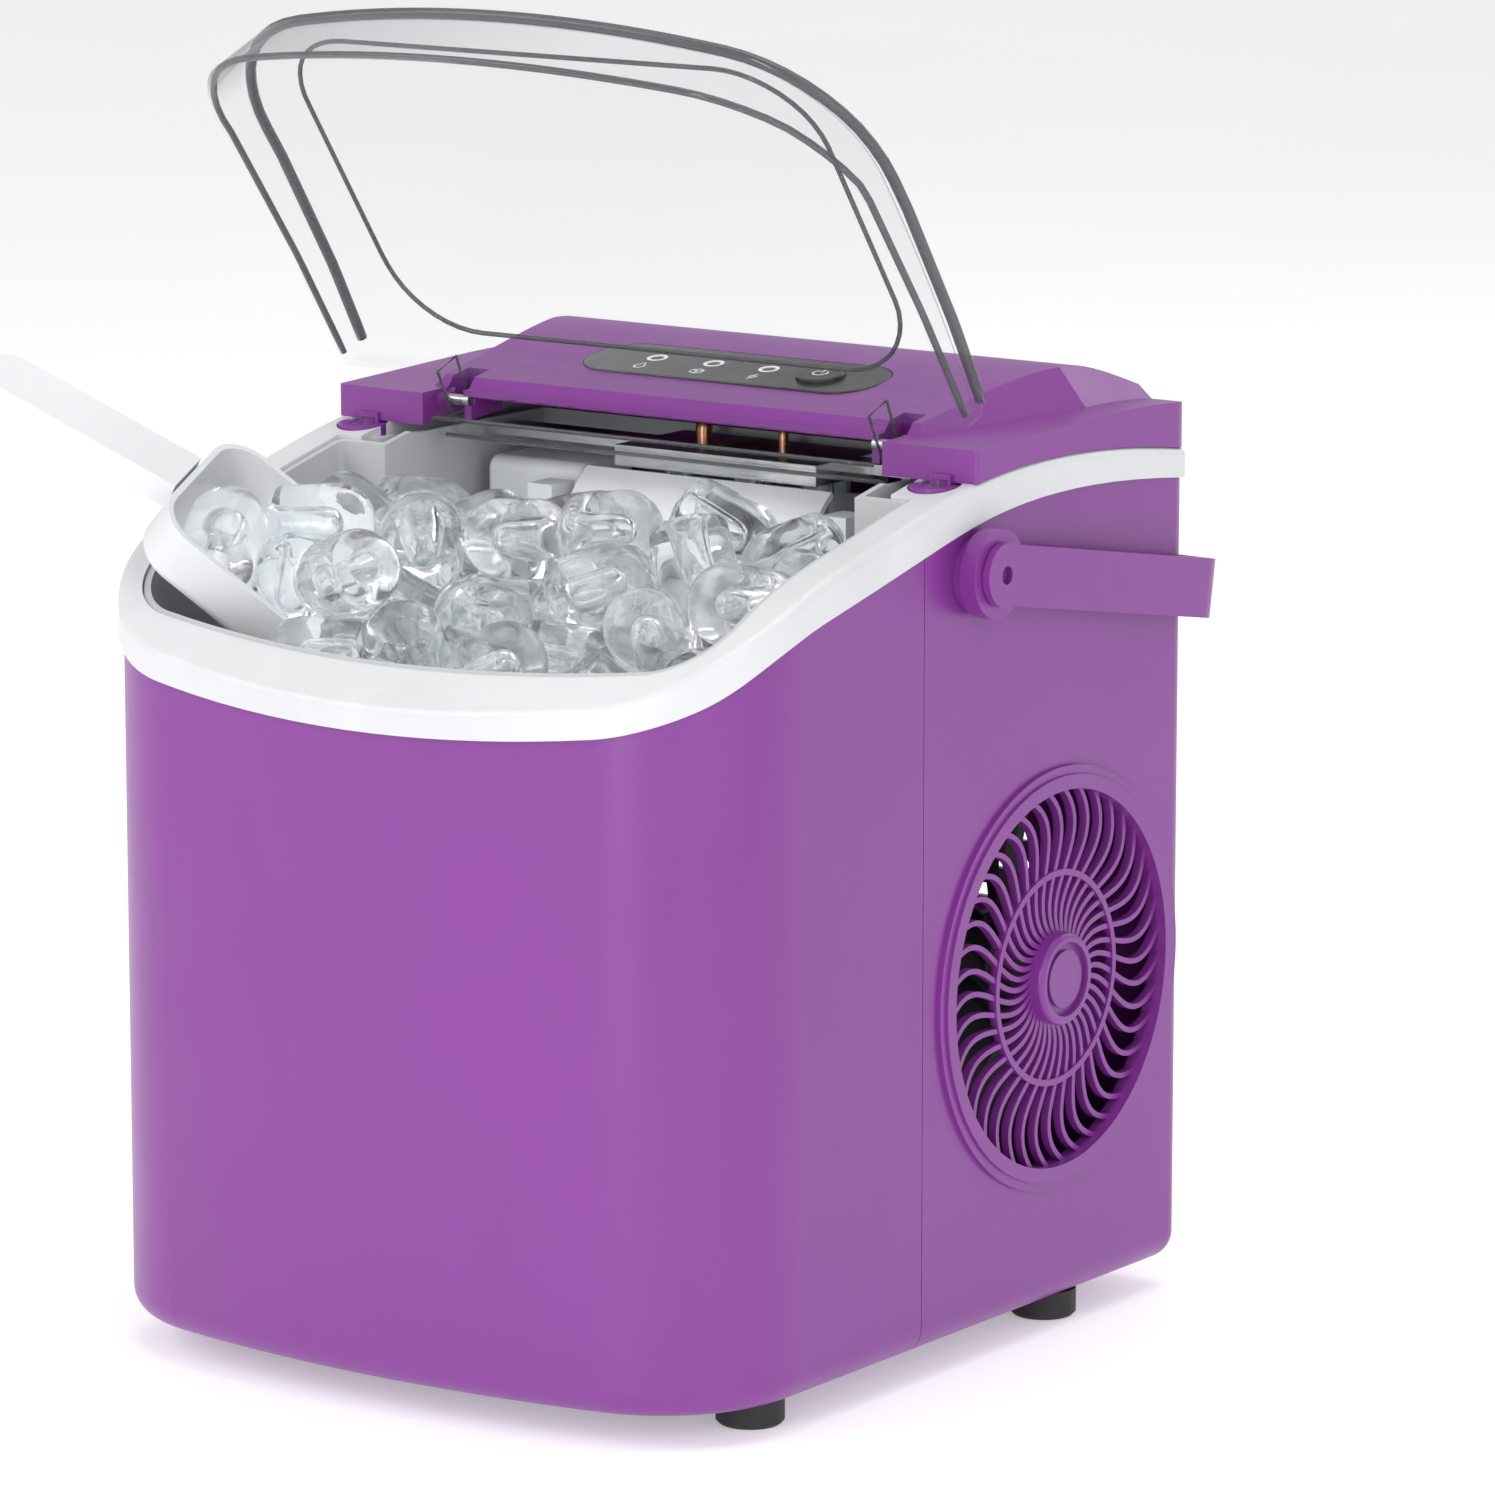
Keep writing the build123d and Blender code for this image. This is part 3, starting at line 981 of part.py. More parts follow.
COPPER_R = 2.4
COMP_TOP = COMP_Z + COMP_H
COND_BACK = FAN_Y + FIN_N * FIN_PITCH / 2
discharge = tube([(COMP_X + COMP_R - 4, COMP_Y + 14, 60), (COMP_X + COMP_R + 14, COMP_Y + 14, 60),
                  (COMP_X + COMP_R + 14, COMP_Y + 14, 134), (COND_X + COND_D / 2, COMP_Y + 14, 134),
                  (COND_X + COND_D / 2, COND_BACK + 6, 134), (COND_X + COND_D / 2, COND_BACK + 6, 114),
                  (COND_X + COND_D / 2, COND_BACK - 2, 114)], COPPER_R, 3.6)
suction = tube([(COMP_X, COMP_Y + COMP_R - 4, 70), (COMP_X, COMP_Y + COMP_R + 10, 70),
                (COMP_X, COMP_Y + COMP_R + 10, FINGER_TOP + 11.4), (COMP_X + 24, COMP_Y + COMP_R + 10, FINGER_TOP + 11.4),
                (COMP_X + 24, TRAY_Y + 10, FINGER_TOP + 11.4), (COMP_X + 24, TRAY_Y + 10, FINGER_TOP + 5)],
               COPPER_R, 3.6)
liquid = tube([(COND_X + COND_D / 2, COND_BACK - 2, 34), (COND_X + COND_D / 2, COND_BACK + 4.5, 34),
               (14, COND_BACK + 4.5, 34), (14, COND_BACK + 4.5, 60)], COPPER_R - 0.6, 3.0)
capillary = tube([(14, COND_BACK + 4.5, 112), (14, COND_BACK + 4.5, FINGER_TOP + 11.4),
                  (14, TRAY_Y + 10, FINGER_TOP + 11.4), (14, TRAY_Y + 10, FINGER_TOP + 5)], COPPER_R - 0.9, 3.0)
with BuildPart() as copper_pipes:
    add(discharge)
    add(suction)
    add(liquid)
    add(capillary)
save(copper_pipes, "copper_pipes")

with BuildPart() as filter_drier:
    with Locations((14, COND_BACK + 4.5, 60.5)):
        Cylinder(6.5, 51, align=(Align.CENTER, Align.CENTER, Align.MIN))
    fillet(filter_drier.edges().filter_by(GeomType.CIRCLE), 4)
save(filter_drier, "filter_drier")

# ---------------------------------------------------------------- water pump and hose
with BuildPart() as water_pump:
    with Locations((PUMP_X, PUMP_Y, PUMP_Z)):
        Box(26, 20, 30)
    fillet(water_pump.edges().filter_by(Axis.Z), 5)
    with Locations((PUMP_X, PUMP_Y, PUMP_Z + 15)):
        Cylinder(8, 16, align=(Align.CENTER, Align.CENTER, Align.MIN))
    with Locations((PUMP_X, PUMP_Y - 10, 80)):
        Cylinder(3.8, 8, rotation=(90, 0, 0), align=(Align.CENTER, Align.CENTER, Align.MIN))
    with Locations((PUMP_X + 10, PUMP_Y, 97)):
        Cylinder(3.0, 11, rotation=(0, 90, 0), align=(Align.CENTER, Align.CENTER, Align.MIN))
save(water_pump, "water_pump")

with BuildPart() as pump_bracket:
    with Locations((PUMP_X, PUMP_Y, PUMP_Z - 15)):
        Box(30, 22, 3, align=(Align.CENTER, Align.CENTER, Align.MAX))
    with Locations((PUMP_X, PUMP_Y - 7, BASE_TOP)):
        Box(30, 3, PUMP_Z - 18 - BASE_TOP, align=(Align.CENTER, Align.CENTER, Align.MIN))
        Box(30, 14, 3, align=(Align.CENTER, Align.MIN, Align.MIN))
save(pump_bracket, "pump_bracket")

water_hose_path = [(PUMP_X + 21.1, PUMP_Y, 97), (PUMP_X + 34, PUMP_Y, 97), (PUMP_X + 34, PUMP_Y, 166),
                   (HOSE_X, PUMP_Y, 166), (HOSE_X, PUMP_Y, TRAY_Z), (HOSE_X, TRAY_Y, TRAY_Z),
                   (TRAY_X + 50.5, TRAY_Y, TRAY_Z)]
hose_outer = tube(water_hose_path, 3.4, 5.0)
with BuildPart() as water_hose:
    add(hose_outer)
save(water_hose, "water_hose")

with BuildPart() as level_probes:
    for x in PROBE_X:
        with Locations((x, STEP_Y + 4, PROBE_Z)):
            Cylinder(1.5, 14, rotation=(90, 0, 0), align=(Align.CENTER, Align.CENTER, Align.MIN))
            Cylinder(4.0, 3, rotation=(90, 0, 0), align=(Align.CENTER, Align.CENTER, Align.MIN))
save(level_probes, "level_probes")

with BuildPart() as tank_insulation:
    with BuildSketch(Plane.XY.offset(50)):
        with Locations((0, -56)):
            RectangleRounded(190, 92, 18)
    extrude(amount=RESERVOIR_FLOOR - TANK_WALL - 50)
    with Locations((0, STEP_Y - 2, 40)):
        Box(24, 60, 60, align=(Align.CENTER, Align.MIN, Align.CENTER), mode=Mode.SUBTRACT)
save(tank_insulation, "tank_insulation")

with BuildPart() as tank_legs:
    with Locations((-70, -85, BASE_TOP), (70, -85, BASE_TOP), (-70, -27, BASE_TOP), (70, -27, BASE_TOP)):
        Cylinder(9, 50 - BASE_TOP, align=(Align.CENTER, Align.CENTER, Align.MIN))
    with Locations((-70, -85, BASE_TOP), (70, -85, BASE_TOP), (-70, -27, BASE_TOP), (70, -27, BASE_TOP)):
        Cylinder(6, 50 - BASE_TOP - 3, align=(Align.CENTER, Align.CENTER, Align.MIN), mode=Mode.SUBTRACT)
save(tank_legs, "tank_legs")

# ---------------------------------------------------------------- electrics
with BuildPart() as power_board:
    with Locations((-100, 66, 92)):
        Box(1.6, 76, 96)
    with Locations((-99.2, 44, 118)):
        Box(13, 24, 24, align=(Align.MIN, Align.CENTER, Align.CENTER))
    with Locations((-99.2, 84, 120), (-99.2, 66, 66)):
        Box(9, 16, 20, align=(Align.MIN, Align.CENTER, Align.CENTER))
    with Locations((-99.2, 40, 72)):
        Cylinder(7, 12, rotation=(0, 90, 0), align=(Align.CENTER, Align.CENTER, Align.MIN))
    with Locations((-100.8, 34, 52), (-100.8, 98, 52), (-100.8, 34, 132), (-100.8, 98, 132)):
        Cylinder(3, HALF_W - WALL - 100.8, rotation=(0, -90, 0), align=(Align.CENTER, Align.CENTER, Align.MIN))
save(power_board, "power_board")

with BuildPart() as cord_gland:
    with Locations((GLAND_X, BACK_Y - WALL - 4, GLAND_Z)):
        Cylinder(GLAND_R - 0.2, WALL + 5, rotation=(-90, 0, 0), align=(Align.CENTER, Align.CENTER, Align.MIN))
    with Locations((GLAND_X, BACK_Y + 0.1, GLAND_Z)):
        Cylinder(GLAND_R + 3, 3, rotation=(-90, 0, 0), align=(Align.CENTER, Align.CENTER, Align.MIN))
    fillet(cord_gland.faces().sort_by(Axis.Y)[-1].edges(), 1.0)
    with Locations((GLAND_X, BACK_Y - WALL - 0.1, GLAND_Z)):
        Cylinder(GLAND_R + 2, 3, rotation=(90, 0, 0), align=(Align.CENTER, Align.CENTER, Align.MIN))
    with Locations((GLAND_X, BACK_Y, GLAND_Z)):
        Cylinder(3.6, 40, rotation=(90, 0, 0), mode=Mode.SUBTRACT)
save(cord_gland, "cord_gland")

# ---------------------------------------------------------------- screws
with BuildPart() as rear_screws:
    with Locations(*[(x, BACK_Y + 0.05, z) for x, z in REAR_SCREWS]):
        Cylinder(3.2, 1.8, rotation=(-90, 0, 0), align=(Align.CENTER, Align.CENTER, Align.MIN))
        Cylinder(1.5, 9, rotation=(90, 0, 0), align=(Align.CENTER, Align.CENTER, Align.MIN))
    with Locations(*[(x, BACK_Y + 1.9, z) for x, z in REAR_SCREWS]):
        Box(3.6, 1.2, 0.8, mode=Mode.SUBTRACT)
        Box(0.8, 1.2, 3.6, mode=Mode.SUBTRACT)
save(rear_screws, "rear_screws")

with BuildPart() as housing_screws:
    for side in (-1, 1):
        with Locations((side * TAB_X, TAB_Y, TAB_Z + TAB_T - 1.65)):
            Cylinder(3.4, 1.5, align=(Align.CENTER, Align.CENTER, Align.MIN))
            Cylinder(1.45, 10, align=(Align.CENTER, Align.CENTER, Align.MAX))
        with Locations((side * TAB_X, TAB_Y, TAB_Z + TAB_T)):
            Box(3.6, 0.8, 1.2, mode=Mode.SUBTRACT)
            Box(0.8, 3.6, 1.2, mode=Mode.SUBTRACT)
save(housing_screws, "housing_screws")
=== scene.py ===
"""Countertop bullet ice maker: materials, ice, printed icons, floor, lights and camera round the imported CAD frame."""
import json
import math
import random

import bmesh
import bpy
from mathutils import Euler, Matrix, Vector


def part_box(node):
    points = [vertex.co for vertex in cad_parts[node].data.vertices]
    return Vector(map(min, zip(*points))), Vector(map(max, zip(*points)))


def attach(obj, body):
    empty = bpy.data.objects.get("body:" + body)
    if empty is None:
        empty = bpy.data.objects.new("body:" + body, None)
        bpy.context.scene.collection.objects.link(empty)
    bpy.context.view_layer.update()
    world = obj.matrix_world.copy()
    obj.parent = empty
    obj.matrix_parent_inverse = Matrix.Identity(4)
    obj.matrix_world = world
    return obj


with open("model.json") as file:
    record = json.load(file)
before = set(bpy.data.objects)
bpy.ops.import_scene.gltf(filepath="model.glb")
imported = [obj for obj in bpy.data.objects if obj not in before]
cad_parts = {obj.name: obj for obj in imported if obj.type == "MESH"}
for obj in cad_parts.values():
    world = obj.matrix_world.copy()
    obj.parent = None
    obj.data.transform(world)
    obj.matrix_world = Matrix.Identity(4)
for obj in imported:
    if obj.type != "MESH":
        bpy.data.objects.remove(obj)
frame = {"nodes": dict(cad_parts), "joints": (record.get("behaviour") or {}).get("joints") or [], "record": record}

MM = 0.001
nodes, record = frame["nodes"], frame["record"]
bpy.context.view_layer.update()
shell_low, shell_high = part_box("rear_shell")
BODY = Vector(((shell_low.x + shell_high.x) / 2, shell_high.y - 0.1227, 0.0))    # middle of the body's footprint

# ---------------------------------------------------------------- node helpers


class Graph:
    """A material's node tree, with short calls for the nodes used here."""

    def __init__(self, name):
        self.material = bpy.data.materials.new(name)
        self.material.use_nodes = True
        self.tree = self.material.node_tree
        self.tree.nodes.clear()
        self.out = self.tree.nodes.new("ShaderNodeOutputMaterial")
        self.place = self.tree.nodes.new("ShaderNodeTexCoord").outputs["Object"]

    def node(self, kind, **values):
        n = self.tree.nodes.new(kind)
        for key, value in values.items():
            setattr(n, key, value)
        return n

    def link(self, a, b):
        self.tree.links.new(a, b)

    def noise(self, scale, detail=3.0, rough=0.55, stretch=None):
        n = self.node("ShaderNodeTexNoise")
        n.inputs["Scale"].default_value = scale
        n.inputs["Detail"].default_value = detail
        n.inputs["Roughness"].default_value = rough
        source = self.place
        if stretch:
            m = self.node("ShaderNodeMapping")
            m.inputs["Scale"].default_value = stretch
            self.link(self.place, m.inputs["Vector"])
            source = m.outputs["Vector"]
        self.link(source, n.inputs["Vector"])
        return n.outputs["Fac"]

    def span(self, value, low, high, to_low, to_high):
        n = self.node("ShaderNodeMapRange")
        for name, v in (("From Min", low), ("From Max", high), ("To Min", to_low), ("To Max", to_high)):
            n.inputs[name].default_value = v
        self.link(value, n.inputs["Value"])
        return n.outputs["Result"]

    def mix(self, factor, a, b):
        n = self.node("ShaderNodeMix", data_type="RGBA")
        if isinstance(factor, float):
            n.inputs["Factor"].default_value = factor
        else:
            self.link(factor, n.inputs["Factor"])
        for socket, value in ((n.inputs[6], a), (n.inputs[7], b)):
            if isinstance(value, tuple):
                socket.default_value = (*value, 1.0)
            else:
                self.link(value, socket)
        return n.outputs[2]

    def bump(self, height, distance, strength=1.0, below=None):
        n = self.node("ShaderNodeBump")
        n.inputs["Strength"].default_value = strength
        n.inputs["Distance"].default_value = distance
        self.link(height, n.inputs["Height"])
        if below:
            self.link(below, n.inputs["Normal"])
        return n.outputs["Normal"]

    def principled(self, **values):
        n = self.node("ShaderNodeBsdfPrincipled")
        for key, value in values.items():
            socket = n.inputs[key.replace("_", " ")]
            if isinstance(value, (int, float)):
                socket.default_value = value
            elif isinstance(value, tuple):
                socket.default_value = (*value, 1.0)
            else:
                self.link(value, socket)
        return n

    def done(self, shader):
        self.link(shader, self.out.inputs["Surface"])
        return self.material


def shade(colour, k):
    return tuple(min(max(c * k, 0.0), 1.0) for c in colour)


def moulded(name, colour, rough, grain=1400.0, depth=0.00002, mottle=0.05, **extra):
    """Moulded plastic or rubber: faint flow mottling, a fine grain, and a gloss that varies a little."""
    g = Graph(name)
    broad = g.noise(14.0, 4.0)
    fine = g.noise(grain, 2.0)
    flow = g.noise(60.0, 3.0, stretch=(1.0, 1.0, 0.35))
    tone = g.mix(g.span(broad, 0.35, 0.65, 0.0, 1.0), shade(colour, 1 - mottle), shade(colour, 1 + mottle))
    tone = g.mix(g.span(flow, 0.45, 0.75, 0.0, 0.35), tone, shade(colour, 1 + 1.5 * mottle))
    gloss = g.span(g.noise(35.0, 5.0, 0.65), 0.3, 0.7, rough - 0.035, rough + 0.05)
    normal = g.bump(fine, depth, 0.6)
    return g.done(g.principled(Base_Color=tone, Roughness=gloss, Normal=normal, **extra).outputs[0])


def metal(name, colour, rough, streak=(1.0, 1.0, 30.0), scale=60.0, stain=0.12):
    """Drawn, plated or bare metal: fine streaks and faint stains."""
    g = Graph(name)
    lines = g.noise(scale, 6.0, 0.7, stretch=streak)
    blot = g.noise(26.0, 4.0)
    tone = g.mix(g.span(blot, 0.4, 0.7, 0.0, 1.0), colour, shade(colour, 1 - stain))
    tone = g.mix(g.span(lines, 0.4, 0.8, 0.0, 0.3), tone, shade(colour, 1.12))
    gloss = g.span(lines, 0.3, 0.7, rough - 0.06, rough + 0.1)
    return g.done(g.principled(Base_Color=tone, Roughness=gloss, Metallic=1.0,
                               Normal=g.bump(lines, 0.00003, 0.5)).outputs[0])


def purple_gloss():
    """Semi-gloss purple ABS with a very fine orange-peel and a clear top sheen."""
    g = Graph("purple_abs")
    colour = (0.208, 0.031, 0.265)
    broad = g.noise(9.0, 3.0)
    tone = g.mix(g.span(broad, 0.3, 0.7, 0.0, 1.0), shade(colour, 0.965), shade(colour, 1.035))
    specks = g.span(g.noise(2600.0, 1.0), 0.72, 0.80, 0.0, 0.25)
    tone = g.mix(specks, tone, shade(colour, 1.25))
    gloss = g.span(g.noise(30.0, 5.0, 0.6), 0.3, 0.7, 0.33, 0.40)
    peel = g.bump(g.noise(520.0, 2.0), 0.00003, 0.35)
    grain = g.bump(g.noise(2400.0, 1.0), 0.00001, 0.5, peel)
    return g.done(g.principled(Base_Color=tone, Roughness=gloss, Normal=grain, Coat_Weight=0.12,
                               Coat_Roughness=0.22).outputs[0])


def clear_plastic(name, tint, edge, low, high, rough=0.04):
    """Clear plastic: see-through where it faces the eye; where the surface turns away it turns a glossy grey, a painted
    shade standing for refraction in the thick plastic.
    """
    g = Graph(name)
    facing = g.node("ShaderNodeLayerWeight")
    facing.inputs["Blend"].default_value = 0.30
    ripple = g.noise(38.0, 2.0)
    dust = g.span(g.noise(900.0, 3.0), 0.68, 0.82, 0.0, 0.03)
    amount = g.span(facing.outputs["Facing"], 0.38, 0.92, low, high)
    add = g.node("ShaderNodeMath", operation="ADD", use_clamp=True)
    g.link(amount, add.inputs[0])
    g.link(dust, add.inputs[1])
    # edge is a grey painted shade for the dark look refraction gives clear plastic at grazing angles, mixed in by the
    # facing weight
    tone = g.mix(g.span(ripple, 0.3, 0.7, 0.0, 1.0), edge, shade(edge, 1.25))
    solid = g.principled(Base_Color=tone, Roughness=rough, Normal=g.bump(ripple, 0.0002, 0.12))
    solid.inputs["Specular IOR Level"].default_value = 0.9
    clear = g.node("ShaderNodeBsdfTransparent")
    clear.inputs["Color"].default_value = (*tint, 1.0)
    both = g.node("ShaderNodeMixShader")
    g.link(add.outputs[0], both.inputs[0])
    g.link(clear.outputs[0], both.inputs[1])
    g.link(solid.outputs[0], both.inputs[2])
    return g.done(both.outputs[0])


def ice_glass():
    """Clear ice with a wet surface and a faint cloudy core; lamps shine through it."""
    g = Graph("clear_ice")
    cloud = g.noise(120.0, 5.0, 0.6)
    wet = g.bump(g.noise(190.0, 3.0), 0.0004, 0.25)
    glass = g.principled(Base_Color=(0.975, 0.985, 0.99), Roughness=0.035, Transmission_Weight=1.0, IOR=1.31,
                         Normal=wet)
    milky = g.principled(Base_Color=(0.93, 0.95, 0.97), Roughness=0.25, Normal=wet)
    body = g.node("ShaderNodeMixShader")
    g.link(g.span(cloud, 0.45, 0.75, 0.03, 0.26), body.inputs[0])
    g.link(glass.outputs[0], body.inputs[1])
    g.link(milky.outputs[0], body.inputs[2])
    through = g.node("ShaderNodeBsdfTransparent")
    through.inputs["Color"].default_value = (0.93, 0.95, 0.96, 1.0)
    path = g.node("ShaderNodeLightPath")
    both = g.node("ShaderNodeMixShader")
    g.link(path.outputs["Is Shadow Ray"], both.inputs[0])
    g.link(body.outputs[0], both.inputs[1])
    g.link(through.outputs[0], both.inputs[2])
    return g.done(both.outputs[0])


def panel_film():
    """Charcoal film that fades from grey on the left to near black on the right."""
    g = Graph("panel_film")
    split = g.node("ShaderNodeSeparateXYZ")
    g.link(g.place, split.inputs[0])
    fade = g.span(split.outputs["X"], BODY.x - 0.052, BODY.x + 0.030, 0.0, 1.0)
    tone = g.mix(fade, (0.105, 0.105, 0.110), (0.018, 0.018, 0.020))
    tone = g.mix(g.span(g.noise(1800.0, 2.0), 0.60, 0.75, 0.0, 0.25), tone, (0.10, 0.10, 0.105))
    gloss = g.span(g.noise(60.0, 4.0), 0.3, 0.7, 0.20, 0.30)
    return g.done(g.principled(Base_Color=tone, Roughness=gloss, Normal=g.bump(g.noise(1500.0), 0.00001, 0.5)).outputs[0])


def laminate():
    """Green circuit laminate with lighter green tracks under the lacquer."""
    g = Graph("laminate")
    cells = g.node("ShaderNodeTexVoronoi", feature="DISTANCE_TO_EDGE")
    cells.inputs["Scale"].default_value = 210.0
    g.link(g.place, cells.inputs["Vector"])
    tone = g.mix(g.span(cells.outputs["Distance"], 0.02, 0.06, 1.0, 0.0), (0.02, 0.11, 0.045), (0.05, 0.22, 0.09))
    return g.done(g.principled(Base_Color=tone, Roughness=g.span(g.noise(70.0), 0.3, 0.7, 0.28, 0.4)).outputs[0])


FINISHES = {
    "purple_shell": purple_gloss(),
    "white_rim": moulded("white_rim_abs", (0.66, 0.67, 0.685), 0.34),
    "grey_liner": moulded("liner_polypropylene", (0.52, 0.53, 0.54), 0.42),
    "grey_basket": moulded("basket_polypropylene", (0.66, 0.67, 0.68), 0.40),
    "white_moulding": moulded("white_moulding", (0.72, 0.73, 0.735), 0.36),
    "white_scoop": moulded("scoop_polypropylene", (0.70, 0.71, 0.725), 0.33, Subsurface_Weight=0.08,
                           Subsurface_Scale=0.003),
    # the lid's grey at grazing angles is painted shade standing for refraction in the clear plastic
    "clear_lid": clear_plastic("clear_polystyrene", (0.992, 0.993, 0.995), (0.20, 0.20, 0.215), 0.03, 0.85),
    "steel": metal("bright_steel", (0.62, 0.62, 0.63), 0.28),
    "panel_black": panel_film(),
    "white_print": moulded("white_ring_print", (0.84, 0.84, 0.84), 0.45, mottle=0.03),
    "clear_lens": moulded("smoked_lens", (0.045, 0.045, 0.05), 0.16, mottle=0.15),
    "button_black": moulded("button_cap", (0.022, 0.022, 0.024), 0.30, mottle=0.2),
    "circuit_board": laminate(),
    "nickel_plate": metal("nickel_plate", (0.72, 0.72, 0.71), 0.16),
    "fan_black": moulded("fan_nylon", (0.022, 0.022, 0.024), 0.50, mottle=0.2),
    "motor_steel": metal("zinc_plate", (0.45, 0.45, 0.46), 0.36, streak=(30.0, 1.0, 1.0)),
    "condenser_alloy": metal("fin_alloy", (0.66, 0.67, 0.68), 0.34, streak=(1.0, 60.0, 1.0)),
    "compressor_black": moulded("black_paint", (0.012, 0.012, 0.013), 0.26, grain=400.0, depth=0.00006, mottle=0.2),
    "rubber_black": moulded("black_rubber", (0.018, 0.018, 0.019), 0.62, grain=900.0, depth=0.00006, mottle=0.2),
    "rubber_grey": moulded("grey_silicone", (0.36, 0.36, 0.37), 0.55, grain=900.0, depth=0.00005),
    "copper": metal("bare_copper", (0.72, 0.36, 0.22), 0.30, stain=0.35),
    "base_black": moulded("base_polypropylene", (0.035, 0.035, 0.037), 0.55, mottle=0.15),
    "pump_blue": moulded("pump_nylon", (0.10, 0.10, 0.11), 0.45, mottle=0.15),
    "hose_clear": moulded("milky_silicone", (0.70, 0.70, 0.69), 0.38, Subsurface_Weight=0.2, Subsurface_Scale=0.003),
    "foam_white": moulded("bead_foam", (0.84, 0.84, 0.82), 0.80, grain=260.0, depth=0.0004),
}
for entry in record["subparts"]:
    mesh = nodes[entry["node"]].data
    mesh.materials.clear()
    mesh.materials.append(FINISHES[entry["material_slot"]])

# ---------------------------------------------------------------- mesh helpers


def add_object(name, mesh, material):
    mesh.materials.append(material)
    obj = bpy.data.objects.new(name, mesh)
    bpy.context.scene.collection.objects.link(obj)
    return obj


def smooth(mesh):
    mesh.polygons.foreach_set("use_smooth", [True] * len(mesh.polygons))


def curve_points(points, steps):
    """A smooth line through points, with the given steps between neighbours."""
    out = []
    for i in range(len(points) - 1):
        p0, p1 = points[max(i - 1, 0)], points[i]
        p2, p3 = points[i + 1], points[min(i + 2, len(points) - 1)]
        for k in range(steps):
            t = k / steps
            out.append(tuple(
                0.5 * (2 * b + (c - a) * t + (2 * a - 5 * b + 4 * c - d) * t * t + (3 * b - a - 3 * c + d) * t**3)
                for a, b, c, d in zip(p0, p1, p2, p3)))
    return out + [points[-1]]


def lathe(profile, sides):
    """Vertices and faces of a closed form of revolution about Z; the profile starts and ends on the axis."""
    verts = [Vector((0, 0, profile[0][1]))]
    for r, z in profile[1:-1]:
        for k in range(sides):
            a = 2 * math.pi * k / sides
            verts.append(Vector((r * math.cos(a), r * math.sin(a), z)))
    verts.append(Vector((0, 0, profile[-1][1])))
    faces, rings = [], len(profile) - 2
    for k in range(sides):
        n = (k + 1) % sides
        faces.append((0, 1 + k, 1 + n))
        for j in range(rings - 1):
            a, b = 1 + j * sides, 1 + (j + 1) * sides
            faces.append((a + k, b + k, b + n, a + n))
        last = 1 + (rings - 1) * sides
        faces.append((last + k, len(verts) - 1, last + n))
    return verts, faces


# ---------------------------------------------------------------- ice bullets
BULLET_R, BULLET_LEN, BULLET_MID = 11.4, 29.0, 13.5
BULLET_OUTSIDE = [(0, 29.0), (3.2, 28.75), (6.4, 27.6), (9.2, 25.2), (10.9, 21.6), (11.4, 17.0), (11.4, 9.0),
                  (11.3, 3.0), (10.9, 1.1), (9.9, 0.25), (8.4, 0.0), (6.0, 0.0), (4.9, 0.35), (4.3, 1.4),
                  (4.05, 4.0), (3.9, 10.0), (3.7, 15.5), (2.9, 18.2), (1.4, 19.4), (0, 19.7)]
SIM = 20.0          # the ice falls at twenty times its size, where the solver is steady
FALL_FRAMES = 130
draw = random.Random(11)


def bullet_shape(seed):
    """One hollow bullet, a little uneven, with its middle at the origin, in metres."""
    rnd = random.Random(seed)
    verts, faces = lathe(curve_points(BULLET_OUTSIDE, 3), 36)
    length, lean = rnd.uniform(0.93, 1.04), rnd.uniform(-0.05, 0.05)
    phase = [rnd.uniform(0, 6.28) for _ in range(4)]
    for v in verts:
        around = math.atan2(v.y, v.x)
        wave = 1 + 0.012 * math.sin(2 * around + phase[0]) + 0.010 * math.sin(3 * around + v.z * 0.25 + phase[1])
        v.x, v.y = v.x * wave + lean * (v.z - BULLET_MID) * 0.4, v.y * wave
        v.z = (v.z - BULLET_MID) * length + 0.25 * math.sin(around + phase[2]) * (v.z < 1.5)
    return [v * MM for v in verts], faces


def sim_body(name, mesh, kind, shape, friction):
    obj = bpy.data.objects.new(name, mesh)
    bpy.context.scene.collection.objects.link(obj)
    bpy.context.view_layer.objects.active = obj
    bpy.ops.object.select_all(action="DESELECT")
    obj.select_set(True)
    bpy.ops.rigidbody.object_add(type=kind)
    rb = obj.rigid_body
    rb.collision_shape, rb.friction, rb.restitution = shape, friction, 0.0
    rb.use_margin, rb.collision_margin = True, 0.002
    if kind == "ACTIVE":
        rb.mass, rb.linear_damping, rb.angular_damping = 1.0, 0.06, 0.30
    return obj


def scaled_copy(mesh, k):
    copy = mesh.copy()
    copy.transform(Matrix.Scale(k, 4))
    return copy


def box_mesh(low, high):
    mesh = bpy.data.meshes.new("wall")
    bm = bmesh.new()
    bmesh.ops.create_cube(bm, size=1.0)
    for v in bm.verts:
        for i in range(3):
            v.co[i] = (low[i] if v.co[i] < 0 else high[i]) * SIM
    bm.to_mesh(mesh)
    bm.free()
    return mesh


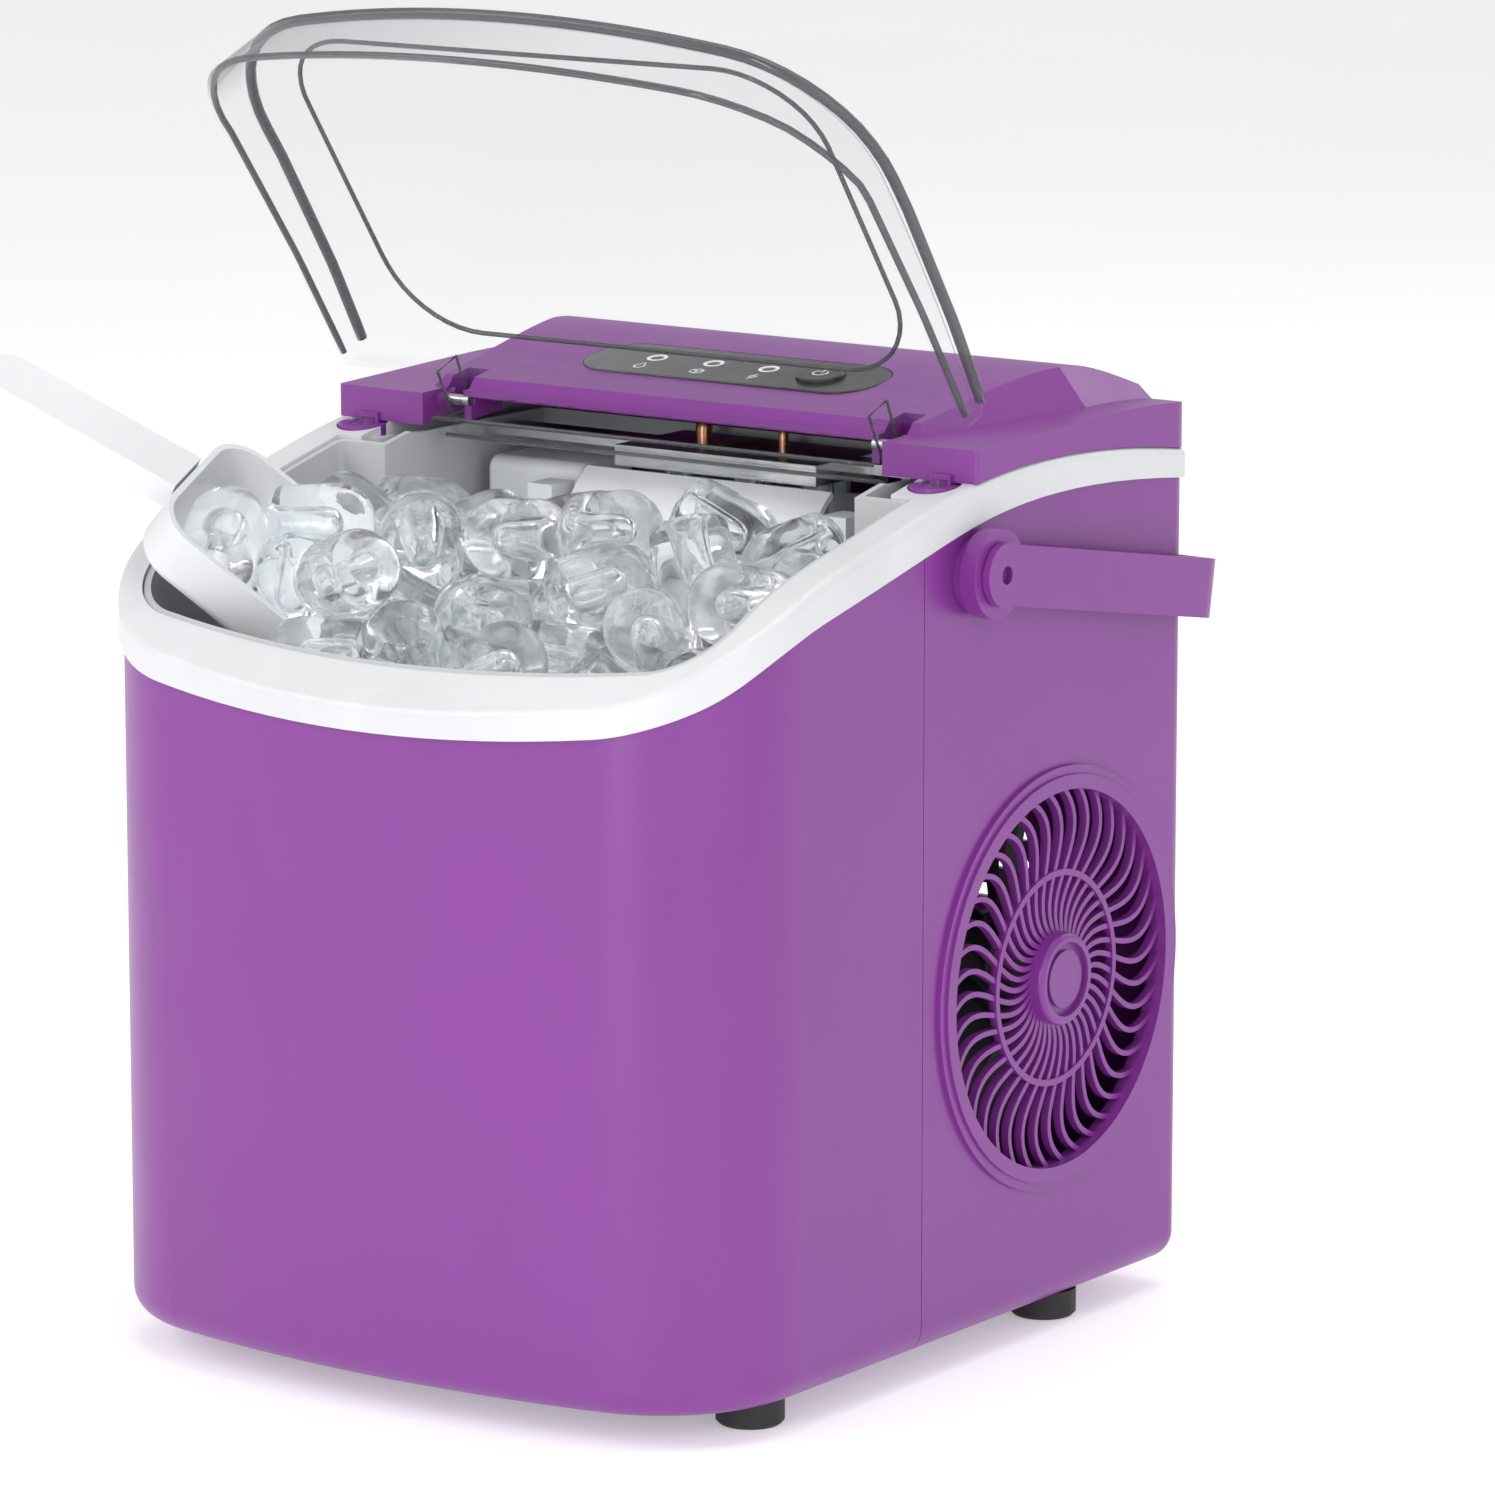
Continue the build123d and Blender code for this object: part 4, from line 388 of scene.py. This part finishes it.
def drop_points():
    """Where the bullets start: two full layers in the basket, then columns clear of the scoop, then the scoop's own."""
    low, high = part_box("ice_basket")
    points, pitch = [], 0.0365
    xs = [low.x + 0.024 + pitch * i for i in range(5)]
    ys = [low.y + 0.021 + pitch * 0.86 * j for j in range(3)]
    z = low.z + 0.022
    for layer in range(2):
        points += [(x, y, z + layer * 0.034) for x in xs for y in ys]
    free = [(x, y) for x in xs[2:] for y in ys] + [(xs[1], ys[2]), (xs[0], ys[2])]
    for layer in range(2, 12):
        points += [(x - 0.004, y, z + layer * 0.038) for x, y in free]
    scoop_low, scoop_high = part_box("ice_scoop")
    middle = Vector((scoop_high.x - 0.034, (scoop_low.y + scoop_high.y) / 2 + 0.002, 0.246))
    own = [(0.0, -0.012, 0.0), (-0.016, 0.012, 0.014), (0.006, 0.014, 0.040), (-0.020, -0.014, 0.044),
           (-0.004, 0.0, 0.080), (-0.022, 0.010, 0.112), (0.004, -0.006, 0.146), (-0.020, 0.0, 0.180),
           (-0.010, 0.012, 0.214)]
    return points, [tuple(middle + Vector(p)) for p in own]


def settle_ice():
    """Lets the bullets fall into the basket and the scoop, and returns where they come to rest, in metres."""
    scene = bpy.context.scene
    bpy.ops.rigidbody.world_add()
    world = scene.rigidbody_world
    world.substeps_per_frame, world.solver_iterations = 12, 16
    world.point_cache.frame_start, world.point_cache.frame_end = 1, FALL_FRAMES
    scene.frame_set(1)
    made = []
    for node in ("ice_basket", "ice_scoop", "tank", "rim_bezel"):
        made.append(sim_body("still_" + node, scaled_copy(nodes[node].data, SIM), "PASSIVE", "MESH", 0.25))
    low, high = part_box("ice_basket")
    back = high.y + 0.013
    walls = [((low.x - 0.05, back, 0.16), (high.x + 0.05, back + 0.03, 0.70)),
             ((low.x - 0.06, low.y - 0.05, 0.262), (low.x + 0.001, back, 0.70)),
             ((high.x - 0.001, low.y - 0.05, 0.232), (high.x + 0.06, back, 0.70)),
             ((low.x - 0.05, low.y - 0.05, 0.262), (high.x + 0.05, low.y + 0.001, 0.70))]
    for a, b in walls:
        made.append(sim_body("wall", box_mesh(a, b), "PASSIVE", "MESH", 0.0))
    proxy = bpy.data.meshes.new("proxy")
    verts, faces = lathe([(0, 29.2), (7.4, 27.4), (11.0, 22.5), (11.6, 16.0), (11.6, 1.6), (9.8, -0.1), (0, -0.1)], 12)
    proxy.from_pydata([(v - Vector((0, 0, BULLET_MID))) * MM * SIM for v in verts], [], faces)
    falling = []
    pile, own = drop_points()
    for spot in pile + own:
        obj = sim_body("falling", proxy, "ACTIVE", "CONVEX_HULL", 0.22)
        turn = Euler([draw.uniform(0, 6.28) for _ in range(3)])
        jitter = Vector((draw.uniform(-1, 1), draw.uniform(-1, 1), 0.0)) * 0.0015
        obj.location = (Vector(spot) + jitter) * SIM
        obj.rotation_euler = turn
        falling.append(obj)
    for f in range(1, FALL_FRAMES + 1):
        scene.frame_set(f)
    deps = bpy.context.evaluated_depsgraph_get()
    rests = []
    for obj in falling:
        m = obj.evaluated_get(deps).matrix_world.copy()
        rests.append(Matrix.Translation(m.to_translation() / SIM) @ m.to_quaternion().to_matrix().to_4x4())
    bpy.ops.rigidbody.world_remove()
    for obj in made + falling:
        bpy.data.objects.remove(obj)
    scene.frame_set(1)
    return rests


def ice_mesh(name, rests, seed):
    mesh = bpy.data.meshes.new(name)
    verts, faces = [], []
    for i, place in enumerate(rests):
        shape, ring = bullet_shape(seed + i)
        base = len(verts)
        verts += [place @ v for v in shape]
        faces += [tuple(base + k for k in f) for f in ring]
    mesh.from_pydata(verts, [], faces)
    smooth(mesh)
    return mesh


def lid_inside(y):
    """Height of the closed lid's inner face at y, from the middle of the body."""
    line = [(-0.135, 0.222), (-0.121, 0.227), (-0.090, 0.2375), (-0.060, 0.246), (-0.020, 0.2546), (0.012, 0.2593)]
    for (y0, z0), (y1, z1) in zip(line, line[1:]):
        if y0 <= y <= y1:
            return z0 + (z1 - z0) * (y - y0) / (y1 - y0)
    return line[-1][1]


basket_low, basket_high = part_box("ice_basket")
SCOOP_MOUTH = BODY + Vector((-0.082, -0.1075, 0.239))
SCOOP_U, SCOOP_W = Vector((0.686, 0.375, -0.625)), Vector((0.690, -0.058, 0.721))
SCOOP_V = SCOOP_W.cross(SCOOP_U)


def in_scoop(p):
    d = p - SCOOP_MOUTH
    u, v, w = d.dot(SCOOP_U), d.dot(SCOOP_V), d.dot(SCOOP_W)
    return -0.004 < u < 0.056 and 0 < v < 0.054 and -0.018 < w < 0.034


pile, scooped = [], []
for place in settle_ice():
    p = place.to_translation()
    axis = place.to_3x3() @ Vector((0, 0, 1))
    reach_z = abs(axis.z) * BULLET_LEN / 2 * MM + math.sqrt(max(1 - axis.z**2, 0)) * BULLET_R * MM
    inside = (basket_low.x - 0.006 < p.x < basket_high.x + 0.006 and basket_low.y - 0.008 < p.y < basket_high.y + 0.014)
    if in_scoop(p):
        scooped.append(place)
    elif inside and p.z > basket_low.z and p.z + reach_z < lid_inside(p.y - BODY.y) - 0.002:
        pile.append(place)
ICE = ice_glass()
for name, places, body, seed in (("ice_bullets", pile, "basket", 100), ("scooped_bullets", scooped, "scoop", 500)):
    if places:
        ice = add_object(name, ice_mesh(name, places, seed), ICE)
        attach(ice, body)
print("ice", len(pile), "in the basket,", len(scooped), "in the scoop")

# ---------------------------------------------------------------- the lid's thick edges, which gather light, drawn as beads in grey painted shade
LID_ANGLE = math.radians(-68.0)
hinge = next(j for j in frame["joints"] if j["name"] == "lid_hinge")
HINGE = Vector(hinge["pos_m"])
LID_CURVE = [(-0.135, 0.2240), (-0.121, 0.2290), (-0.090, 0.2395), (-0.060, 0.2480), (-0.020, 0.2566), (0.012, 0.2613)]
RIM_CURVE = [(-0.135, 0.1875), (-0.123, 0.1975), (-0.100, 0.2140), (-0.075, 0.2275), (-0.030, 0.2400), (0.010, 0.2490)]


def on_curve(line, y):
    for (y0, z0), (y1, z1) in zip(line, line[1:]):
        if y <= y1:
            return z0 + (z1 - z0) * (y - y0) / (y1 - y0)
    return line[-1][1]


def lid_outline(half, front, back, bow, corner, steps=10):
    """Half the lid's plan outline from the back on the right to the middle of the front, mirrored to the left."""
    side_y = front + bow - math.sqrt(bow**2 - half**2)
    centre_y = front + bow
    inner = bow - corner
    cx = half - corner
    cy = centre_y - math.sqrt(inner**2 - cx**2)
    turn = math.atan2(cy - centre_y, cx)
    points = [(half, back + (cy - back) * k / 14) for k in range(14)]
    points += [(cx + corner * math.cos(turn * k / steps), cy + corner * math.sin(turn * k / steps))
               for k in range(steps + 1)]
    points += [(bow * math.cos(turn + (-math.pi / 2 - turn) * k / 12),
                centre_y + bow * math.sin(turn + (-math.pi / 2 - turn) * k / 12)) for k in range(1, 13)]
    return points + [(-x, y) for x, y in reversed(points[:-1])]


def opened(p):
    """A point of the closed lid, from the middle of the body, carried to where the lid stands open."""
    return HINGE + Matrix.Rotation(-LID_ANGLE * hinge["axis"][0], 3, "X") @ (Vector(p) + BODY - HINGE)


def bead(name, path, radius, closed, material):
    """A slim rounded bead along a path on the lid."""
    pts = [opened(p) for p in path]
    sides, n = 10, len(pts)
    bm = bmesh.new()
    rows = []
    for i, p in enumerate(pts):
        a = pts[i - 1] if closed or i else p
        b = pts[(i + 1) % n] if closed or i < n - 1 else p
        t = (b - a).normalized()
        across = t.cross(opened_up if abs(t.dot(opened_up)) < 0.9 else Vector((1, 0, 0))).normalized()
        high = across.cross(t)
        rows.append([bm.verts.new(p + across * math.cos(2 * math.pi * k / sides) * radius
                                  + high * math.sin(2 * math.pi * k / sides) * radius) for k in range(sides)])
    for i in range(n if closed else n - 1):
        a, b = rows[i], rows[(i + 1) % n]
        for k in range(sides):
            bm.faces.new((a[k], a[(k + 1) % sides], b[(k + 1) % sides], b[k]))
    if not closed:
        bm.faces.new(rows[0])
        bm.faces.new(rows[-1])
    bmesh.ops.recalc_face_normals(bm, faces=bm.faces)
    mesh = bpy.data.meshes.new(name)
    bm.to_mesh(mesh)
    bm.free()
    smooth(mesh)
    obj = add_object(name, mesh, material)
    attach(obj, "lid")


opened_up = Matrix.Rotation(-LID_ANGLE * hinge["axis"][0], 3, "X") @ Vector((0, 0, 1))
# the bead material is grey painted shade, standing for the dark look that refraction gives the lid's thick clear edges
# and raised lines
EDGE_SHADE = clear_plastic("painted_edge_shade", (0.45, 0.45, 0.47), (0.12, 0.12, 0.13), 0.45, 0.97, 0.05)
top_edge = [(x, y, on_curve(LID_CURVE, y) - 0.0014) for x, y in lid_outline(0.1076, -0.1202, 0.006, 0.380, 0.0436)]
low_edge = [(x, y, on_curve(RIM_CURVE, y) + 0.0022) for x, y in lid_outline(0.1080, -0.1206, 0.006, 0.380, 0.0440)]
bead("lid_top_bead", top_edge, 0.0016, False, EDGE_SHADE)
bead("lid_low_bead", low_edge, 0.0010, False, EDGE_SHADE)
pad = []
for cx, cy, start in ((0.063, -0.025, 0), (-0.063, -0.025, 90), (-0.063, -0.079, 180), (0.063, -0.079, 270)):
    pad += [(cx + 0.026 * math.cos(math.radians(start + a)), cy + 0.026 * math.sin(math.radians(start + a)))
            for a in range(0, 91, 9)]
bead("lid_pad_line", [(x, y, on_curve(LID_CURVE, y) + 0.0004) for x, y in pad], 0.0007, True, EDGE_SHADE)

# outlines of the hinge arms and the ends of the curved shield between them, in the same painted shade
ARM_MIDDLE, PIVOT_Y, PIVOT_Z, EYE_R, SHIELD_R = 0.075, 0.0216, 0.2559, 0.0043, 0.01045
for side, tag in ((-1, "left"), (1, "right")):
    arm = [(0.0095, 0.2505), (0.0095, 0.2599), (PIVOT_Y, PIVOT_Z + EYE_R)]
    arm += [(PIVOT_Y + EYE_R * math.sin(math.radians(a)), PIVOT_Z + EYE_R * math.cos(math.radians(a)))
            for a in range(15, 181, 15)]
    bead(f"lid_arm_line_{tag}", [(side * ARM_MIDDLE, y, z) for y, z in arm], 0.00045, True, EDGE_SHADE)
for angle, tag in ((272, "front"), (318, "rear")):
    y = PIVOT_Y + SHIELD_R * math.cos(math.radians(angle))
    z = PIVOT_Z + SHIELD_R * math.sin(math.radians(angle))
    bead(f"lid_shield_line_{tag}", [(-0.0765 + 0.0153 * k, y, z) for k in range(11)], 0.0006, False, EDGE_SHADE)

# ---------------------------------------------------------------- printed icons on the panel
PRINT = FINISHES["white_print"]
TILT = math.radians(8.6)
PANEL_V = Vector((0, math.cos(TILT), math.sin(TILT)))
PANEL_N = Vector((0, -math.sin(TILT), math.cos(TILT)))
PANEL_MIDDLE = BODY + Vector((0, 0.0545, 0.2676))
PRINT_T, STROKE = 0.00006, 0.00042


def stroke(points, closed, width):
    """Left and right edges of a flat line through 2-D points."""
    left, right, n = [], [], len(points)
    for i, p in enumerate(points):
        a = points[i - 1] if closed or i else p
        b = points[(i + 1) % n] if closed or i < n - 1 else p
        d = (b - a).normalized()
        side = Vector((-d.y, d.x)) * width / 2
        left.append(p + side)
        right.append(p - side)
    return left, right


def icon(name, lines, origin, lift, body):
    """Flat printed lines, in the panel's own plane, at origin (u, v)."""
    bm = bmesh.new()
    for points, closed in lines:
        points = [Vector(p) * MM for p in points]
        left, right = stroke(points, closed, STROKE)
        rows = []
        for q, r in zip(left, right):
            row = []
            for flat, high in ((q, 0), (q, PRINT_T), (r, PRINT_T), (r, 0)):
                at = (PANEL_MIDDLE + Vector((origin[0] + flat.x, 0, 0)) + PANEL_V * (origin[1] + flat.y)
                      + PANEL_N * (lift + high))
                row.append(bm.verts.new(at))
            rows.append(row)
        last = len(rows) if closed else len(rows) - 1
        for i in range(last):
            a, b = rows[i], rows[(i + 1) % len(rows)]
            for k in range(4):
                bm.faces.new((a[k], b[k], b[(k + 1) % 4], a[(k + 1) % 4]))
        if not closed:
            bm.faces.new(rows[0])
            bm.faces.new(list(reversed(rows[-1])))
    bmesh.ops.recalc_face_normals(bm, faces=bm.faces)
    mesh = bpy.data.meshes.new(name)
    bm.to_mesh(mesh)
    bm.free()
    obj = add_object(name, mesh, PRINT)
    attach(obj, body)


def arc(r, start, end, steps=24, centre=(0, 0)):
    return [(centre[0] + r * math.cos(math.radians(start + (end - start) * k / steps)),
             centre[1] + r * math.sin(math.radians(start + (end - start) * k / steps))) for k in range(steps + 1)]


DROP = [(0, 2.6)] + arc(1.55, 25, -205, 24, (0, -0.7))
CUBE = [([(-1.9, 0.9), (0, 1.9), (1.9, 0.9), (1.9, -1.3), (0, -2.3), (-1.9, -1.3)], True),
        ([(-1.9, 0.9), (0, -0.1), (1.9, 0.9)], False), ([(0, -0.1), (0, -2.3)], False)]
BOLT = [(0.6, 2.5), (-1.3, -0.4), (0.1, -0.4), (-0.6, -2.5), (1.4, 0.5), (-0.1, 0.5)]
POWER = [(arc(2.2, 125, 415), False), ([(0, 0.4), (0, 2.9)], False)]
ICON_V = -0.0068
LIGHTS_X = (-0.029, -0.009, 0.0103)
icon("drop_icon", [(DROP, True)], (LIGHTS_X[0], ICON_V), 0.00001, "housing")
icon("cube_icon", CUBE, (LIGHTS_X[1], ICON_V), 0.00001, "housing")
icon("bolt_icon", [(BOLT, True)], (LIGHTS_X[2], ICON_V), 0.00001, "housing")
icon("switch_icon", POWER, (0.030, -0.001), 0.00121, "button")

# ---------------------------------------------------------------- floor, lights and camera


def floor_material():
    g = Graph("floor_paper")
    tone = g.mix(g.span(g.noise(3.0, 3.0), 0.3, 0.7, 0.0, 1.0), (0.90, 0.90, 0.905), (0.92, 0.92, 0.925))
    paper = g.principled(Base_Color=tone, Roughness=0.75, Normal=g.bump(g.noise(700.0), 0.00005, 0.3),
                         Emission_Color=(1.0, 1.0, 1.0), Emission_Strength=0.34)
    return g.done(paper.outputs[0])


floor_mesh = bpy.data.meshes.new("floor")
reach = 30.0
floor_mesh.from_pydata([(-reach, -reach, 0), (reach, -reach, 0), (reach, reach, 0), (-reach, reach, 0)], [],
                       [(0, 1, 2, 3)])
floor = add_object("floor", floor_mesh, floor_material())
floor.location.z = -0.0002


def area_light(name, place, target, width, height, watts, colour=(1, 1, 1)):
    data = bpy.data.lights.new(name, "AREA")
    data.shape, data.size, data.size_y = "RECTANGLE", width, height
    data.energy, data.color = watts, colour
    obj = bpy.data.objects.new(name, data)
    bpy.context.scene.collection.objects.link(obj)
    obj.location = place
    obj.rotation_euler = (Vector(target) - Vector(place)).to_track_quat("-Z", "Y").to_euler()


MIDDLE = (0, 0, 0.16)
area_light("key", (-1.3, -1.5, 1.5), MIDDLE, 1.3, 1.3, 15.0)
area_light("fill", (1.9, -0.9, 0.9), MIDDLE, 1.2, 1.4, 11.0)
area_light("top", (0.1, 0.2, 1.7), MIDDLE, 1.2, 1.2, 9.0)
area_light("corner_strip", (0.35, -1.9, 0.5), MIDDLE, 0.30, 1.3, 10.0)
area_light("back", (0.4, 1.9, 1.1), MIDDLE, 1.2, 1.0, 6.0)

world = bpy.data.worlds.new("studio")
bpy.context.scene.world = world
world.use_nodes = True
world.node_tree.nodes["Background"].inputs["Color"].default_value = (1.0, 1.0, 1.0, 1.0)
world.node_tree.nodes["Background"].inputs["Strength"].default_value = 0.55
bpy.context.scene.view_settings.view_transform = "Standard"

AZIMUTH, ELEVATION, DISTANCE = math.radians(36.117), math.radians(11.602), 2.2
back_dir = Vector((math.sin(AZIMUTH) * math.cos(ELEVATION), -math.cos(AZIMUTH) * math.cos(ELEVATION),
                   math.sin(ELEVATION)))
right_dir = Vector((math.cos(AZIMUTH), math.sin(AZIMUTH), 0))
up_dir = back_dir.cross(right_dir)
aim = -back_dir + right_dir * 0.01342 + up_dir * 0.01042
camera_data = bpy.data.cameras.new("camera")
camera_data.sensor_width, camera_data.lens = 36.0, 185.8
camera = bpy.data.objects.new("camera", camera_data)
bpy.context.scene.collection.objects.link(camera)
camera.location = BODY + Vector((0, 0.009, 0.140)) + back_dir * DISTANCE
camera.rotation_euler = aim.to_track_quat("-Z", "Y").to_euler()
bpy.context.scene.camera = camera
